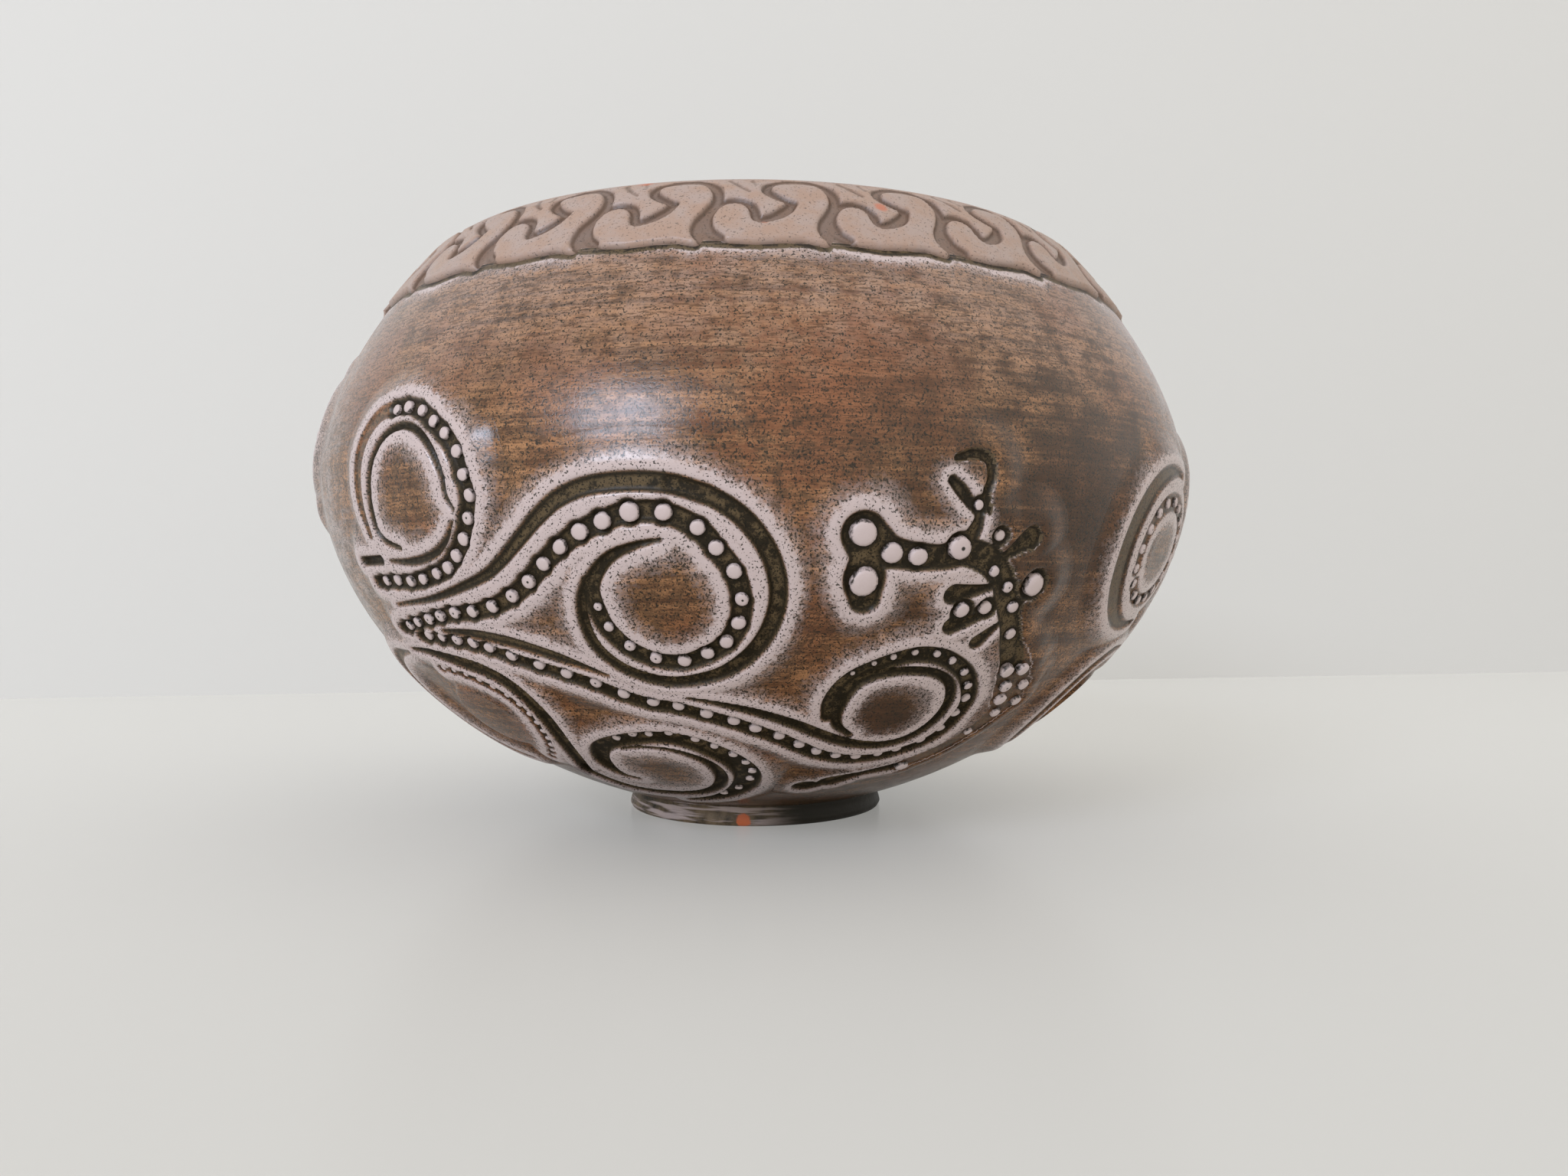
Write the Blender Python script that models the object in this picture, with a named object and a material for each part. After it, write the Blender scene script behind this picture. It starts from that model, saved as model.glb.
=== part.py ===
"""Terracotta vase with carved scrolls: a wide thrown body on a low foot ring, closed by a rim collar.

Beaded scroll strips, leaf sprays and a border of curling waves lie on the wall, each luted on with
slip. Metres, +Z up, the origin under the middle of the foot. The front of the vase faces -Y.
"""

import math
from bisect import bisect_left
from dataclasses import dataclass

import bmesh
import bpy
from mathutils import Vector
from mathutils.geometry import interpolate_bezier

# Body sizes
BELLY_RADIUS = 0.0900
BELLY_HEIGHT = 0.0702
MOUTH_RADIUS = 0.0655
RIM_HEIGHT = 0.1160
SHOULDER_POWER = 1.62
BOWL_POWER = 1.87
WALL = 0.0060
FLOOR = 0.0065
SLIP = 0.0003

# Foot ring, seated under the body round a low boss
FOOT_RADIUS = 0.0275
FOOT_WIDTH = 0.0075
FOOT_BORE = FOOT_RADIUS - FOOT_WIDTH
FOOT_EDGE = 0.0007
BOSS_DROP = 0.0012

# Rim collar, seated on the body over a tongue
COLLAR_BAND = 0.0195
TONGUE_RISE = 0.0030
TONGUE_WIDTH = 0.0026
LIP_ROUND = 0.0020

# Pattern: it repeats round the belly, and its lengths are degrees of the belly's own circle
REPEATS = 3
PATTERN_DEGREE = math.radians(1) * BELLY_RADIUS
CURL_STEP = 28
CURL_POWER = 2.6
STEM_STEPS = 4
STEM_HANDLE_SHARE = 0.42
STEM_TAPER_SHARE = 0.55

# Section of a beaded strip, from the raised lip across the plain groove and the bead lane
BEAD_LANE = 2.74 * PATTERN_DEGREE
BEAD_RADIUS = 0.95 * PATTERN_DEGREE
BEAD_PITCH = 3.12 * PATTERN_DEGREE
BEAD_SIDES = 5
RIDGE_WIDTH = 0.76 * PATTERN_DEGREE
GROOVE_WIDTH = 1.46 * PATTERN_DEGREE
GROOVE_LEAST_SHARE = 0.12
LIP_WIDTH = 0.83 * PATTERN_DEGREE
STRIP_FLOOR = 0.0006
LIP_HEIGHT = 0.0015
RIDGE_HEIGHT = 0.0012
BEAD_HEIGHT = 0.0016
EDGE_LIFT = 0.00015

# Leaf spray
SPRAY_LANE = 3.31 * PATTERN_DEGREE
SPRAY_BRANCH_SCALE = 0.8
SPRAY_HOOK_SCALE = 0.5
SPRAY_SPANS = 5
SPRAY_BEAD_RADIUS = 1.34 * PATTERN_DEGREE
LOBE_RADIUS = 2.6 * PATTERN_DEGREE
LOBE_TOP_SHARE = 0.8
LOBE_SIDES = 8

# Rim waves: sizes across a wave, and shares of its own length and width
WAVE_COUNT = 24
WAVE_HEIGHT = 0.0011
WAVE_BAND_WIDTH = 3.31 * PATTERN_DEGREE
WAVE_BULB_RADIUS = 2.42 * PATTERN_DEGREE
WAVE_BULB_SHARE = 0.4
WAVE_TUCK_SHARE = 0.2
WAVE_END_SHARE = 0.16
WAVE_ROUND_SHARE = 0.8
WAVE_TOP_SHARE = 0.72
WAVE_START = 9.0
WAVE_SPANS = 9

# Fineness of the turned pieces
TURN_STEPS = 40
OUTER_ROWS = 12
INNER_ROWS = 8
COLLAR_ROWS = 3
LIP_POINTS = 5
ARC_SAMPLES = 600
LINE_SAMPLES = 12
SMOOTH_ANGLE = 35

# Clays and slips: linear colour, then roughness
BODY_SLIP = ((0.22, 0.13, 0.085), 0.45)
FOOT_CLAY = ((0.12, 0.075, 0.05), 0.6)
RIM_SLIP = ((0.33, 0.24, 0.2), 0.45)
CARVED_SLIP = ((0.07, 0.058, 0.038), 0.5)
WAVE_SLIP = ((0.42, 0.32, 0.28), 0.45)


@dataclass
class Scroll:
    """One beaded strip that curls round a plain disc.

    Places are (degrees round the vase, degrees of arc above the belly line), angles are counter-clockwise
    from the right of the disc's middle, and a negative sweep turns clockwise. With a root, a tapering stem
    runs from there into the curl. The plain groove lies outside the bead lane or inside it, and it opens
    between the two shares of the strip's length in groove_from. Copies are numbered, and each lies one
    repeat round the vase from the one before.
    """

    name: str
    centre: tuple
    start: float
    sweep: float
    radii: tuple
    groove_outside: bool
    root: tuple = None
    heading: float = 0.0
    scale: float = 1.0
    groove_from: tuple = (0.0, 0.4)
    copies: tuple = (1, 2, 3)


SCROLLS = (
    Scroll("shoulder_scroll", (-38.5, -3.7), 262, 215, (9.8, 8.3), False, (-46.5, -13.7), 0, 0.9),
    Scroll("main_scroll", (-9.0, -16.5), 140, -320, (11.2, 6.3), True, (-44.0, -18.8), -3),
    Scroll("trailing_scroll", (19.0, -30.1), 232, 262, (10.6, 7.8), False, (-32.0, -22.3), -16,
           groove_from=(0.4, 0.7)),
    Scroll("lower_scroll", (-16.5, -42.4), 170, 300, (8.2, 7.9), False, scale=0.8),
    Scroll("side_scroll", (-47.0, -33.0), 110, -260, (6.2, 5.8), True, scale=0.85),
    Scroll("root_scroll", (57.5, -11.0), -50, -300, (7.2, 6.5), True, copies=(1, 2)),
    Scroll("root_scroll", (-78.0, 4.9), -50, -300, (7.2, 6.5), True, copies=(3,)),
)

# Places on the leaf spray, in the same degrees as the scrolls
SPRAY_TRUNK = ((24.6, -8.6), (28.4, -15.4), (33.4, -22.8), (39.2, -32.0))
SPRAY_BRANCH = ((10.4, -9.3), (13.4, -11.3), (18.6, -11.2), (25.4, -11.0))
SPRAY_HOOK = ((20.2, -1.7), (23.4, -2.4), (24.4, -9.0))
BEADED_LOBES = ((10.4, -9.3), (10.9, -13.7))
PLAIN_LOBE = (29.4, -9.5)

# Middle line of a rim wave: shares of one wave's pitch, and shares of the collar band's arc
WAVE_LINE = (
    (0.25, 0.46), (0.23, 0.33), (0.33, 0.21), (0.53, 0.17),
    (0.75, 0.25), (0.84, 0.45), (0.80, 0.65), (0.63, 0.78),
)


def clear_scene():
    for obj in list(bpy.data.objects):
        bpy.data.objects.remove(obj)


def clay(name, finish):
    """A fired clay of a linear colour and a roughness."""
    colour, roughness = finish
    material = bpy.data.materials.new(name)
    material.use_nodes = True
    shader = material.node_tree.nodes["Principled BSDF"]
    shader.inputs["Base Color"].default_value = (*colour, 1.0)
    shader.inputs["Roughness"].default_value = roughness
    shader.inputs["Metallic"].default_value = 0.0
    return material


def outer_radius(height):
    """Radius of the outer wall: one rounded curve over the belly line and one under it."""
    if height >= BELLY_HEIGHT:
        power = SHOULDER_POWER
        mouth_share = MOUTH_RADIUS / BELLY_RADIUS
        rim_share = (1 - mouth_share**power) ** (1 / power)
        reach = (RIM_HEIGHT - BELLY_HEIGHT) / rim_share
    else:
        power = BOWL_POWER
        reach = BELLY_HEIGHT
    share = min(abs(height - BELLY_HEIGHT) / reach, 1.0)
    return BELLY_RADIUS * (1 - share**power) ** (1 / power)


def arc_table():
    """Heights up the outer wall, and the arc above the belly line at each."""
    heights = [RIM_HEIGHT * i / ARC_SAMPLES for i in range(1, ARC_SAMPLES + 1)]
    arcs = [0.0]
    for low, high in zip(heights, heights[1:]):
        arcs.append(arcs[-1] + math.hypot(high - low, outer_radius(high) - outer_radius(low)))
    belly = arcs[bisect_left(heights, BELLY_HEIGHT)]
    return heights, [arc - belly for arc in arcs]


HEIGHTS, ARCS = arc_table()
RIM_ARC = ARCS[-1]
SEAM_ARC = RIM_ARC - COLLAR_BAND


def height_at(arc):
    i = min(max(bisect_left(ARCS, arc), 1), len(ARCS) - 1)
    share = (arc - ARCS[i - 1]) / (ARCS[i] - ARCS[i - 1])
    return HEIGHTS[i - 1] + share * (HEIGHTS[i] - HEIGHTS[i - 1])


def arc_at_radius(radius):
    """Arc of the place under the belly line where the outer wall has this radius."""
    i = bisect_left(HEIGHTS, True, key=lambda height: outer_radius(height) >= radius)
    return ARCS[i]


def wall_point(arc, lift):
    """(radius, height) of the outer wall at an arc, moved out along the wall's normal."""
    height = height_at(arc)
    nudge = RIM_HEIGHT / ARC_SAMPLES
    slope = (outer_radius(height + nudge) - outer_radius(height - nudge)) / (2 * nudge)
    length = math.hypot(1, slope)
    return outer_radius(height) + lift / length, height - lift * slope / length


def on_wall(azimuth, arc, lift):
    """The place on the wall, with the azimuth in radians from the front towards +X."""
    radius, height = wall_point(arc, lift)
    return Vector((radius * math.sin(azimuth), -radius * math.cos(azimuth), height))


def local_radius(arc):
    return wall_point(arc, 0)[0]


def spread(low, high, count):
    return [low + (high - low) * i / (count - 1) for i in range(count)]


def smooth_step(share):
    share = min(max(share, 0.0), 1.0)
    return share * share * (3 - 2 * share)


def turned(name, profile, closed, material):
    """A piece turned on the wheel, from a profile that runs down its outer side."""
    mesh = bpy.data.meshes.new(name)
    edges = [(i, i + 1) for i in range(len(profile) - 1)]
    if closed:
        edges.append((len(profile) - 1, 0))
    mesh.from_pydata([(radius, 0, height) for radius, height in profile], edges, [])
    mesh.materials.append(material)
    obj = bpy.data.objects.new(name, mesh)
    bpy.context.collection.objects.link(obj)
    screw = obj.modifiers.new("turn", "SCREW")
    screw.steps = TURN_STEPS
    screw.render_steps = TURN_STEPS
    screw.use_merge_vertices = True
    screw.merge_threshold = 0.00001
    screw.use_smooth_shade = True
    return obj


def thrown_body(seat_height):
    """The wall from the floor to the collar's seam, with the tongue on top and the boss below."""
    inner_foot = arc_at_radius(FOOT_RADIUS + WALL / 2)
    tongue_top = SEAM_ARC + TONGUE_RISE
    tongue_face = TONGUE_WIDTH - WALL
    profile = [(0.0, seat_height + FLOOR)]
    profile += [wall_point(arc, -WALL) for arc in spread(inner_foot, tongue_top, INNER_ROWS)]
    profile += [wall_point(tongue_top, tongue_face), wall_point(SEAM_ARC, tongue_face)]
    profile += [wall_point(arc, 0) for arc in spread(SEAM_ARC, arc_at_radius(FOOT_RADIUS), OUTER_ROWS)[:-1]]
    profile += [(FOOT_RADIUS, seat_height), (FOOT_BORE - SLIP, seat_height)]
    profile += [(FOOT_BORE - SLIP, seat_height - BOSS_DROP), (0.0, seat_height - BOSS_DROP)]
    return turned("thrown_body", profile, False, clay("brown clay slip", BODY_SLIP))


def foot_ring(seat_height):
    top = seat_height - SLIP
    profile = [(FOOT_RADIUS, top), (FOOT_RADIUS - FOOT_EDGE, top / 2), (FOOT_RADIUS, FOOT_EDGE)]
    profile += [(FOOT_RADIUS - FOOT_EDGE, 0.0), (FOOT_BORE + FOOT_EDGE, 0.0), (FOOT_BORE, FOOT_EDGE)]
    profile += [(FOOT_BORE, top)]
    return turned("foot_ring", profile, True, clay("dark foot clay", FOOT_CLAY))


def rim_collar():
    """The lip coil: its rabbet sits over the body's tongue, and its top is rounded over."""
    half = WALL / 2
    lip_arc = RIM_ARC - LIP_ROUND
    outer = Vector(wall_point(lip_arc, 0))
    inner = Vector(wall_point(lip_arc, -WALL))
    middle = (outer + inner) / 2
    outward = (outer - inner).normalized()
    upward = Vector((-outward.y, outward.x))
    top = []
    for turn in spread(math.pi, 0.0, LIP_POINTS):
        top.append(middle + half * math.cos(turn) * outward + LIP_ROUND * math.sin(turn) * upward)
    rabbet = TONGUE_WIDTH + SLIP - WALL
    collar_foot = SEAM_ARC + SLIP
    step_arc = SEAM_ARC + TONGUE_RISE + SLIP
    outside = [wall_point(arc, 0) for arc in spread(lip_arc, collar_foot, COLLAR_ROWS + 1)[1:]]
    inside = [wall_point(arc, -WALL) for arc in spread(step_arc, lip_arc, COLLAR_ROWS)[:-1]]
    step = [wall_point(collar_foot, rabbet), wall_point(step_arc, rabbet)]
    profile = top + outside + step + inside
    return turned("rim_collar", profile, True, clay("rim clay slip", RIM_SLIP))


def chart(place):
    """(azimuth in radians, arc in metres) of a place given in pattern degrees."""
    return math.radians(place[0]), place[1] * PATTERN_DEGREE


def beside(azimuth, arc, across, up):
    """The chart place that lies this far across and up from another, in metres on the wall."""
    return azimuth + across / local_radius(arc + up), arc + up


def curl_line(scroll, step):
    """Chart places along a scroll's curl, whose radius closes quickly at first."""
    azimuth, arc = chart(scroll.centre)
    count = math.ceil(abs(scroll.sweep) / step) + 1
    places = []
    for share in spread(0.0, 1.0, count):
        first, last = scroll.radii
        radius = (last + (first - last) * (1 - share) ** CURL_POWER) * PATTERN_DEGREE
        angle = math.radians(scroll.start + scroll.sweep * share)
        places.append(beside(azimuth, arc, radius * math.cos(angle), radius * math.sin(angle)))
    return places


def stem_line(scroll, steps):
    """Chart places from a scroll's root up to, and not including, the start of its curl."""
    if scroll.root is None:
        return []
    azimuth, arc = chart(scroll.root)
    first, second = curl_line(scroll, CURL_STEP)[:2]
    middle = local_radius(first[1])
    root = Vector((azimuth * middle, arc, 0.0))
    end = Vector((first[0] * middle, first[1], 0.0))
    onward = (Vector((second[0] * middle, second[1], 0.0)) - end).normalized()
    handle = (end - root).length * STEM_HANDLE_SHARE
    heading = math.radians(scroll.heading)
    leave = root + handle * Vector((math.cos(heading), math.sin(heading), 0.0))
    line = interpolate_bezier(root, leave, end - handle * onward, end, steps + 1)
    return [(point.x / middle, point.y) for point in line[:-1]]


def smooth_line(places, spans):
    """A smooth line of equal shares through chart places."""
    points = [Vector((azimuth * BELLY_RADIUS, arc, 0.0)) for azimuth, arc in places]
    dense = []
    for i in range(len(points) - 1):
        before = points[max(i - 1, 0)]
        after = points[min(i + 2, len(points) - 1)]
        leave = points[i] + (points[i + 1] - before) / 6
        reach = points[i + 1] - (after - points[i]) / 6
        dense += interpolate_bezier(points[i], leave, reach, points[i + 1], LINE_SAMPLES)[:-1]
    dense.append(points[-1])
    lengths = [0.0]
    for before, after in zip(dense, dense[1:]):
        lengths.append(lengths[-1] + (after - before).length)
    line = []
    for length in spread(0.0, lengths[-1], spans + 1):
        i = min(max(bisect_left(lengths, length), 1), len(lengths) - 1)
        share = (length - lengths[i - 1]) / (lengths[i] - lengths[i - 1])
        point = dense[i - 1].lerp(dense[i], share)
        line.append((point.x / BELLY_RADIUS, point.y))
    return line


def frames(line):
    """For each chart place of a line: the place and the unit direction to its left, across and up."""
    found = []
    for i, (azimuth, arc) in enumerate(line):
        before = line[max(i - 1, 0)]
        after = line[min(i + 1, len(line) - 1)]
        across = (after[0] - before[0]) * local_radius(arc)
        up = after[1] - before[1]
        length = math.hypot(across, up)
        found.append((azimuth, arc, -up / length, across / length))
    return found


def swept(name, line, section):
    """A strip along chart places, closed at both ends.

    section(share) gives (distance to the left, lift) pairs over the top, from left to right.
    """
    bm = bmesh.new()
    rows = []
    for i, (azimuth, arc, across, up) in enumerate(frames(line)):
        row = []
        for left, lift in section(i / (len(line) - 1)):
            place = beside(azimuth, arc, left * across, left * up)
            row.append(bm.verts.new(on_wall(*place, SLIP + lift)))
        rows.append(row)
    for row, following in zip(rows, rows[1:]):
        for i in range(len(row)):
            j = (i + 1) % len(row)
            bm.faces.new((row[i], row[j], following[j], following[i]))
    bm.faces.new(reversed(rows[0]))
    bm.faces.new(rows[-1])
    bmesh.ops.recalc_face_normals(bm, faces=bm.faces)
    return finish(bm, name)


def finish(bm, name):
    mesh = bpy.data.meshes.new(name)
    bm.to_mesh(mesh)
    bm.free()
    obj = bpy.data.objects.new(name, mesh)
    bpy.context.collection.objects.link(obj)
    return obj


def add_stud(bm, place, radius, height, sides):
    """A low pointed stud on the wall, sunk half-way into the strip's floor."""
    ring = []
    for i in range(sides):
        angle = math.tau * i / sides
        edge = beside(*place, radius * math.cos(angle), radius * math.sin(angle))
        ring.append(bm.verts.new(on_wall(*edge, SLIP + STRIP_FLOOR / 2)))
    crown = bm.verts.new(on_wall(*place, SLIP + height))
    for i in range(sides):
        bm.faces.new((ring[i], ring[(i + 1) % sides], crown))
    bm.faces.new(reversed(ring))


def studs(name, places, radius, height):
    bm = bmesh.new()
    for place in places:
        add_stud(bm, place, radius, height, BEAD_SIDES)
    bmesh.ops.recalc_face_normals(bm, faces=bm.faces)
    return finish(bm, name)


def plate(name, place, radius, height, sides):
    """A low round plate with a domed top, for the end of a leaf."""
    bm = bmesh.new()
    rings = []
    for reach, lift in ((radius, 0.0), (radius * LOBE_TOP_SHARE, height)):
        ring = []
        for i in range(sides):
            angle = math.tau * i / sides
            edge = beside(*place, reach * math.cos(angle), reach * math.sin(angle))
            ring.append(bm.verts.new(on_wall(*edge, SLIP + lift)))
        rings.append(ring)
    low, high = rings
    for i in range(sides):
        j = (i + 1) % sides
        bm.faces.new((low[i], low[j], high[j], high[i]))
    bm.faces.new(high)
    bm.faces.new(reversed(low))
    bmesh.ops.recalc_face_normals(bm, faces=bm.faces)
    return finish(bm, name)


def spaced(line, pitch):
    """Chart places at an even pitch along a line, half a pitch in from its ends."""
    lengths = [0.0]
    for before, after in zip(line, line[1:]):
        across = (after[0] - before[0]) * local_radius((before[1] + after[1]) / 2)
        lengths.append(lengths[-1] + math.hypot(across, after[1] - before[1]))
    count = round(lengths[-1] / pitch)
    places = []
    for number in range(count):
        length = lengths[-1] * (number + 0.5) / count
        i = max(bisect_left(lengths, length), 1)
        share = (length - lengths[i - 1]) / (lengths[i] - lengths[i - 1])
        places.append(tuple(a + share * (b - a) for a, b in zip(line[i - 1], line[i])))
    return places


def joined(base, additions):
    """One solid of the base and the additions, as a plain mesh; the helpers go."""
    for addition in additions:
        union = base.modifiers.new(addition.name, "BOOLEAN")
        union.operation = "UNION"
        union.solver = "EXACT"
        union.object = addition
    bpy.context.view_layer.update()
    evaluated = base.evaluated_get(bpy.context.evaluated_depsgraph_get())
    mesh = bpy.data.meshes.new_from_object(evaluated)
    for helper in (base, *additions):
        bpy.data.objects.remove(helper)
    return mesh


def strip_section(scale, left_groove, groove_from, stem_share):
    """Section of a beaded strip as a function of the share of its length."""

    def section(share):
        size = scale
        if stem_share:
            size *= STEM_TAPER_SHARE + (1 - STEM_TAPER_SHARE) * smooth_step(share / stem_share)
        opened = smooth_step((share - groove_from[0]) / (groove_from[1] - groove_from[0]))
        groove = (GROOVE_LEAST_SHARE + (1 - GROOVE_LEAST_SHARE) * opened) * size
        lane = BEAD_LANE / 2 * size
        ridge = RIDGE_WIDTH * size
        lip = LIP_WIDTH * size
        wide = lane + ridge + GROOVE_WIDTH * groove
        pairs = [
            (wide + LIP_WIDTH * groove, EDGE_LIFT),
            (wide + LIP_WIDTH * groove / 2, STRIP_FLOOR + (LIP_HEIGHT - STRIP_FLOOR) * opened),
            (lane + ridge + GROOVE_WIDTH * groove / 2, STRIP_FLOOR),
            (lane + ridge / 2, RIDGE_HEIGHT),
            (lane, STRIP_FLOOR),
            (-lane, STRIP_FLOOR),
            (-lane - lip / 2, LIP_HEIGHT),
            (-lane - lip, EDGE_LIFT),
        ]
        if left_groove:
            return pairs
        return [(-left, lift) for left, lift in reversed(pairs)]

    return section


def scroll_mesh(scroll):
    stem = stem_line(scroll, STEM_STEPS)
    line = stem + curl_line(scroll, CURL_STEP)
    stem_share = len(stem) / len(line)
    clockwise = scroll.sweep < 0
    left_groove = clockwise == scroll.groove_outside
    section = strip_section(scroll.scale, left_groove, scroll.groove_from, stem_share)
    strip = swept(scroll.name, line, section)
    beads = studs("beads", spaced(line, BEAD_PITCH), BEAD_RADIUS * scroll.scale, BEAD_HEIGHT)
    return joined(strip, [beads])


def spray_mesh():
    """The leaf spray: a beaded trunk, a branch that ends in two beaded lobes, and a hook."""

    def lane_section(scale):
        lane = SPRAY_LANE / 2 * scale
        lip = LIP_WIDTH * scale
        half = [(lane + lip, EDGE_LIFT), (lane + lip / 2, LIP_HEIGHT), (lane, STRIP_FLOOR)]
        return lambda share: half + [(-left, lift) for left, lift in reversed(half)]

    trunk_line = smooth_line([chart(place) for place in SPRAY_TRUNK], SPRAY_SPANS)
    branch_line = smooth_line([chart(place) for place in SPRAY_BRANCH], SPRAY_SPANS)
    hook_line = smooth_line([chart(place) for place in SPRAY_HOOK], SPRAY_SPANS)
    trunk = swept("trunk", trunk_line, lane_section(1.0))
    additions = [
        swept("branch", branch_line, lane_section(SPRAY_BRANCH_SCALE)),
        swept("hook", hook_line, lane_section(SPRAY_HOOK_SCALE)),
    ]
    beaded = [chart(place) for place in BEADED_LOBES]
    for place in (*beaded, chart(PLAIN_LOBE)):
        additions.append(plate("lobe", place, LOBE_RADIUS, RIDGE_HEIGHT, LOBE_SIDES))
    small = spaced(branch_line, BEAD_PITCH)[1:] + spaced(trunk_line, BEAD_PITCH)[1:]
    additions.append(studs("big beads", beaded, SPRAY_BEAD_RADIUS, RIDGE_HEIGHT + BEAD_HEIGHT / 2))
    additions.append(studs("small beads", small, BEAD_RADIUS, BEAD_HEIGHT))
    return joined(trunk, additions)


def wave_mesh():
    """One rim wave: a band that rolls from its lower bulb along the bottom and up to its upper curl."""
    pitch = math.tau / WAVE_COUNT
    start = math.radians(WAVE_START)
    places = [(start + pitch * around, SEAM_ARC + COLLAR_BAND * up) for around, up in WAVE_LINE]

    def section(share):
        bulb = 1 - smooth_step(share / WAVE_BULB_SHARE)
        half = WAVE_BAND_WIDTH / 2
        inner = half * (1 - WAVE_TUCK_SHARE * bulb)
        outer = half + (WAVE_BULB_RADIUS - half) * bulb
        near_end = min(min(share, 1 - share) / WAVE_END_SHARE, 1.0)
        rounding = math.sqrt(1 - (1 - near_end) ** 2 * WAVE_ROUND_SHARE)
        inner *= rounding
        outer *= rounding
        top_inner = inner * WAVE_TOP_SHARE
        top_outer = outer * WAVE_TOP_SHARE
        return [(inner, 0.0), (top_inner, WAVE_HEIGHT), (-top_outer, WAVE_HEIGHT), (-outer, 0.0)]

    return joined(swept("wave", smooth_line(places, WAVE_SPANS), section), [])


def repeat_round(mesh, name, copies, count, material):
    """Numbered copies of one mesh, each turned one of count even steps on from the one before."""
    mesh.materials.clear()
    mesh.materials.append(material)
    mesh.shade_smooth()
    mesh.set_sharp_from_angle(angle=math.radians(SMOOTH_ANGLE))
    for number in copies:
        obj = bpy.data.objects.new(f"{name}_{number:02d}", mesh)
        obj.rotation_euler.z = math.tau * (number - copies[0]) / count
        bpy.context.collection.objects.link(obj)


def main():
    clear_scene()
    seat_height = height_at(arc_at_radius(FOOT_RADIUS))
    thrown_body(seat_height)
    foot_ring(seat_height)
    rim_collar()
    scroll_clay = clay("dark carved slip", CARVED_SLIP)
    for scroll in SCROLLS:
        repeat_round(scroll_mesh(scroll), scroll.name, scroll.copies, REPEATS, scroll_clay)
    repeat_round(spray_mesh(), "leaf_spray", range(1, REPEATS + 1), REPEATS, scroll_clay)
    wave_clay = clay("pale rim slip", WAVE_SLIP)
    repeat_round(wave_mesh(), "rim_wave", range(1, WAVE_COUNT + 1), WAVE_COUNT, wave_clay)


main()
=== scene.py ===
import math
from dataclasses import dataclass
from functools import partial

import bpy
import numpy as np
from bpy.props import FloatProperty, FloatVectorProperty, IntProperty, PointerProperty
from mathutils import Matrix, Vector


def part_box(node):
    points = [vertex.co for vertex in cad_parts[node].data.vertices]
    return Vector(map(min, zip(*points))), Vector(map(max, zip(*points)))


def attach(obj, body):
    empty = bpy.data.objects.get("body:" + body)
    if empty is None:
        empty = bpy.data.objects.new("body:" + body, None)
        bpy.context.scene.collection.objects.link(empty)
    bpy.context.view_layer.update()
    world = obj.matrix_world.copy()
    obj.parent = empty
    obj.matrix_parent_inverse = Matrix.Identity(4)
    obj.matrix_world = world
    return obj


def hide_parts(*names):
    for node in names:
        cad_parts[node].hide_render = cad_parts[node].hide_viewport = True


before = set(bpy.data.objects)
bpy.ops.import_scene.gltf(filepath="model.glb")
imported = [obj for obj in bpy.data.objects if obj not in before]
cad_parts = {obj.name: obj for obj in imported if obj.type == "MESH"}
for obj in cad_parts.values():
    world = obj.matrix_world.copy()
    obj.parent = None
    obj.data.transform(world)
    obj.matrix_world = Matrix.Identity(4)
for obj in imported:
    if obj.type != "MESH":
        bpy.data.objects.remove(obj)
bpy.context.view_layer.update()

bl_info = {
    "name": "Carved terracotta vase",
    "version": (1, 0, 0),
    "blender": (4, 5, 0),
    "location": "View3D > Sidebar > Vase",
    "description": "Dresses the vase's frame: turned wall, carved scrolls, punched beads and wave border",
    "category": "Object",
}

BODY_LOW, BODY_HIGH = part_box("thrown_body")
FOOT_LOW, FOOT_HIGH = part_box("foot_ring")
REPEATS = 3
WAVES = 24

# Places on the wall are (degrees round from the front, millimetres up along the outer line of the wall).
# The widest line of the belly has this place up the wall
BELLY_MARK = 105.8

# Millimetres
COLLAR = 19.5  # Length of the wall that the rim collar takes
CARVED_TOP = 120.0  # Top of the carved part, up the wall
REACH = 9.0  # How far from a cut the wall feels it
FAR = 30.0  # Beyond any reach
RUB = 5.0  # Width of a usual rubbed edge
EDGE_TOP = 0.9  # How far beside a cut its raised edge stays high
DISC_BLUR = 1.0  # Half the soft rim of a plain disc
STRIP_MARGIN = 8.5  # Wall round a sprig's cuts on its strip
GOUGE_SLOPE = (0.55, 0.95)  # How far inside a cut's edge its floor ends, and how wide its side is
WAVE_SLOPE = (0.25, 0.6)  # The same for a cut of the waves
WAVE_SHADOW_SLOPE = (-0.2, 1.4)  # The same for the painted shadow, with some stain, under the foot of the waves
SEAM_LAP = 0.8  # How far the body runs on under the rim collar
RING_SPACING = 5.2  # Distance between the rings that throwing left inside

# Metres
WALL_START = 0.0006  # Height at which the outer line starts
ROOT_RADIUS = 0.0762  # Radius of the wall at the root scrolls
SPIGOT = 0.0196  # Radius of the body's underside, inside the foot ring
FLOOR = 0.0077  # Thickness of the floor
BORE = 0.0200  # Radius of the foot ring's bore
LIP_RISE = 0.0020  # Height of the rounded lip
RING_DEPTH = 0.00012  # Depth of the rings that throwing left inside

# Shares
FAINT = 0.3  # Depth of the ring round a faint bead, of a full cut
DISC_LEVEL = 0.8  # How much of a raised edge's fall a plain disc takes away

# The fitted camera: its focal length and the width of its picture
FOCAL_PIXELS = 1500
PICTURE_PIXELS = 2048

# A ramp with soft ends
EASED = {"interpolation_type": "SMOOTHSTEP"}


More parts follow.
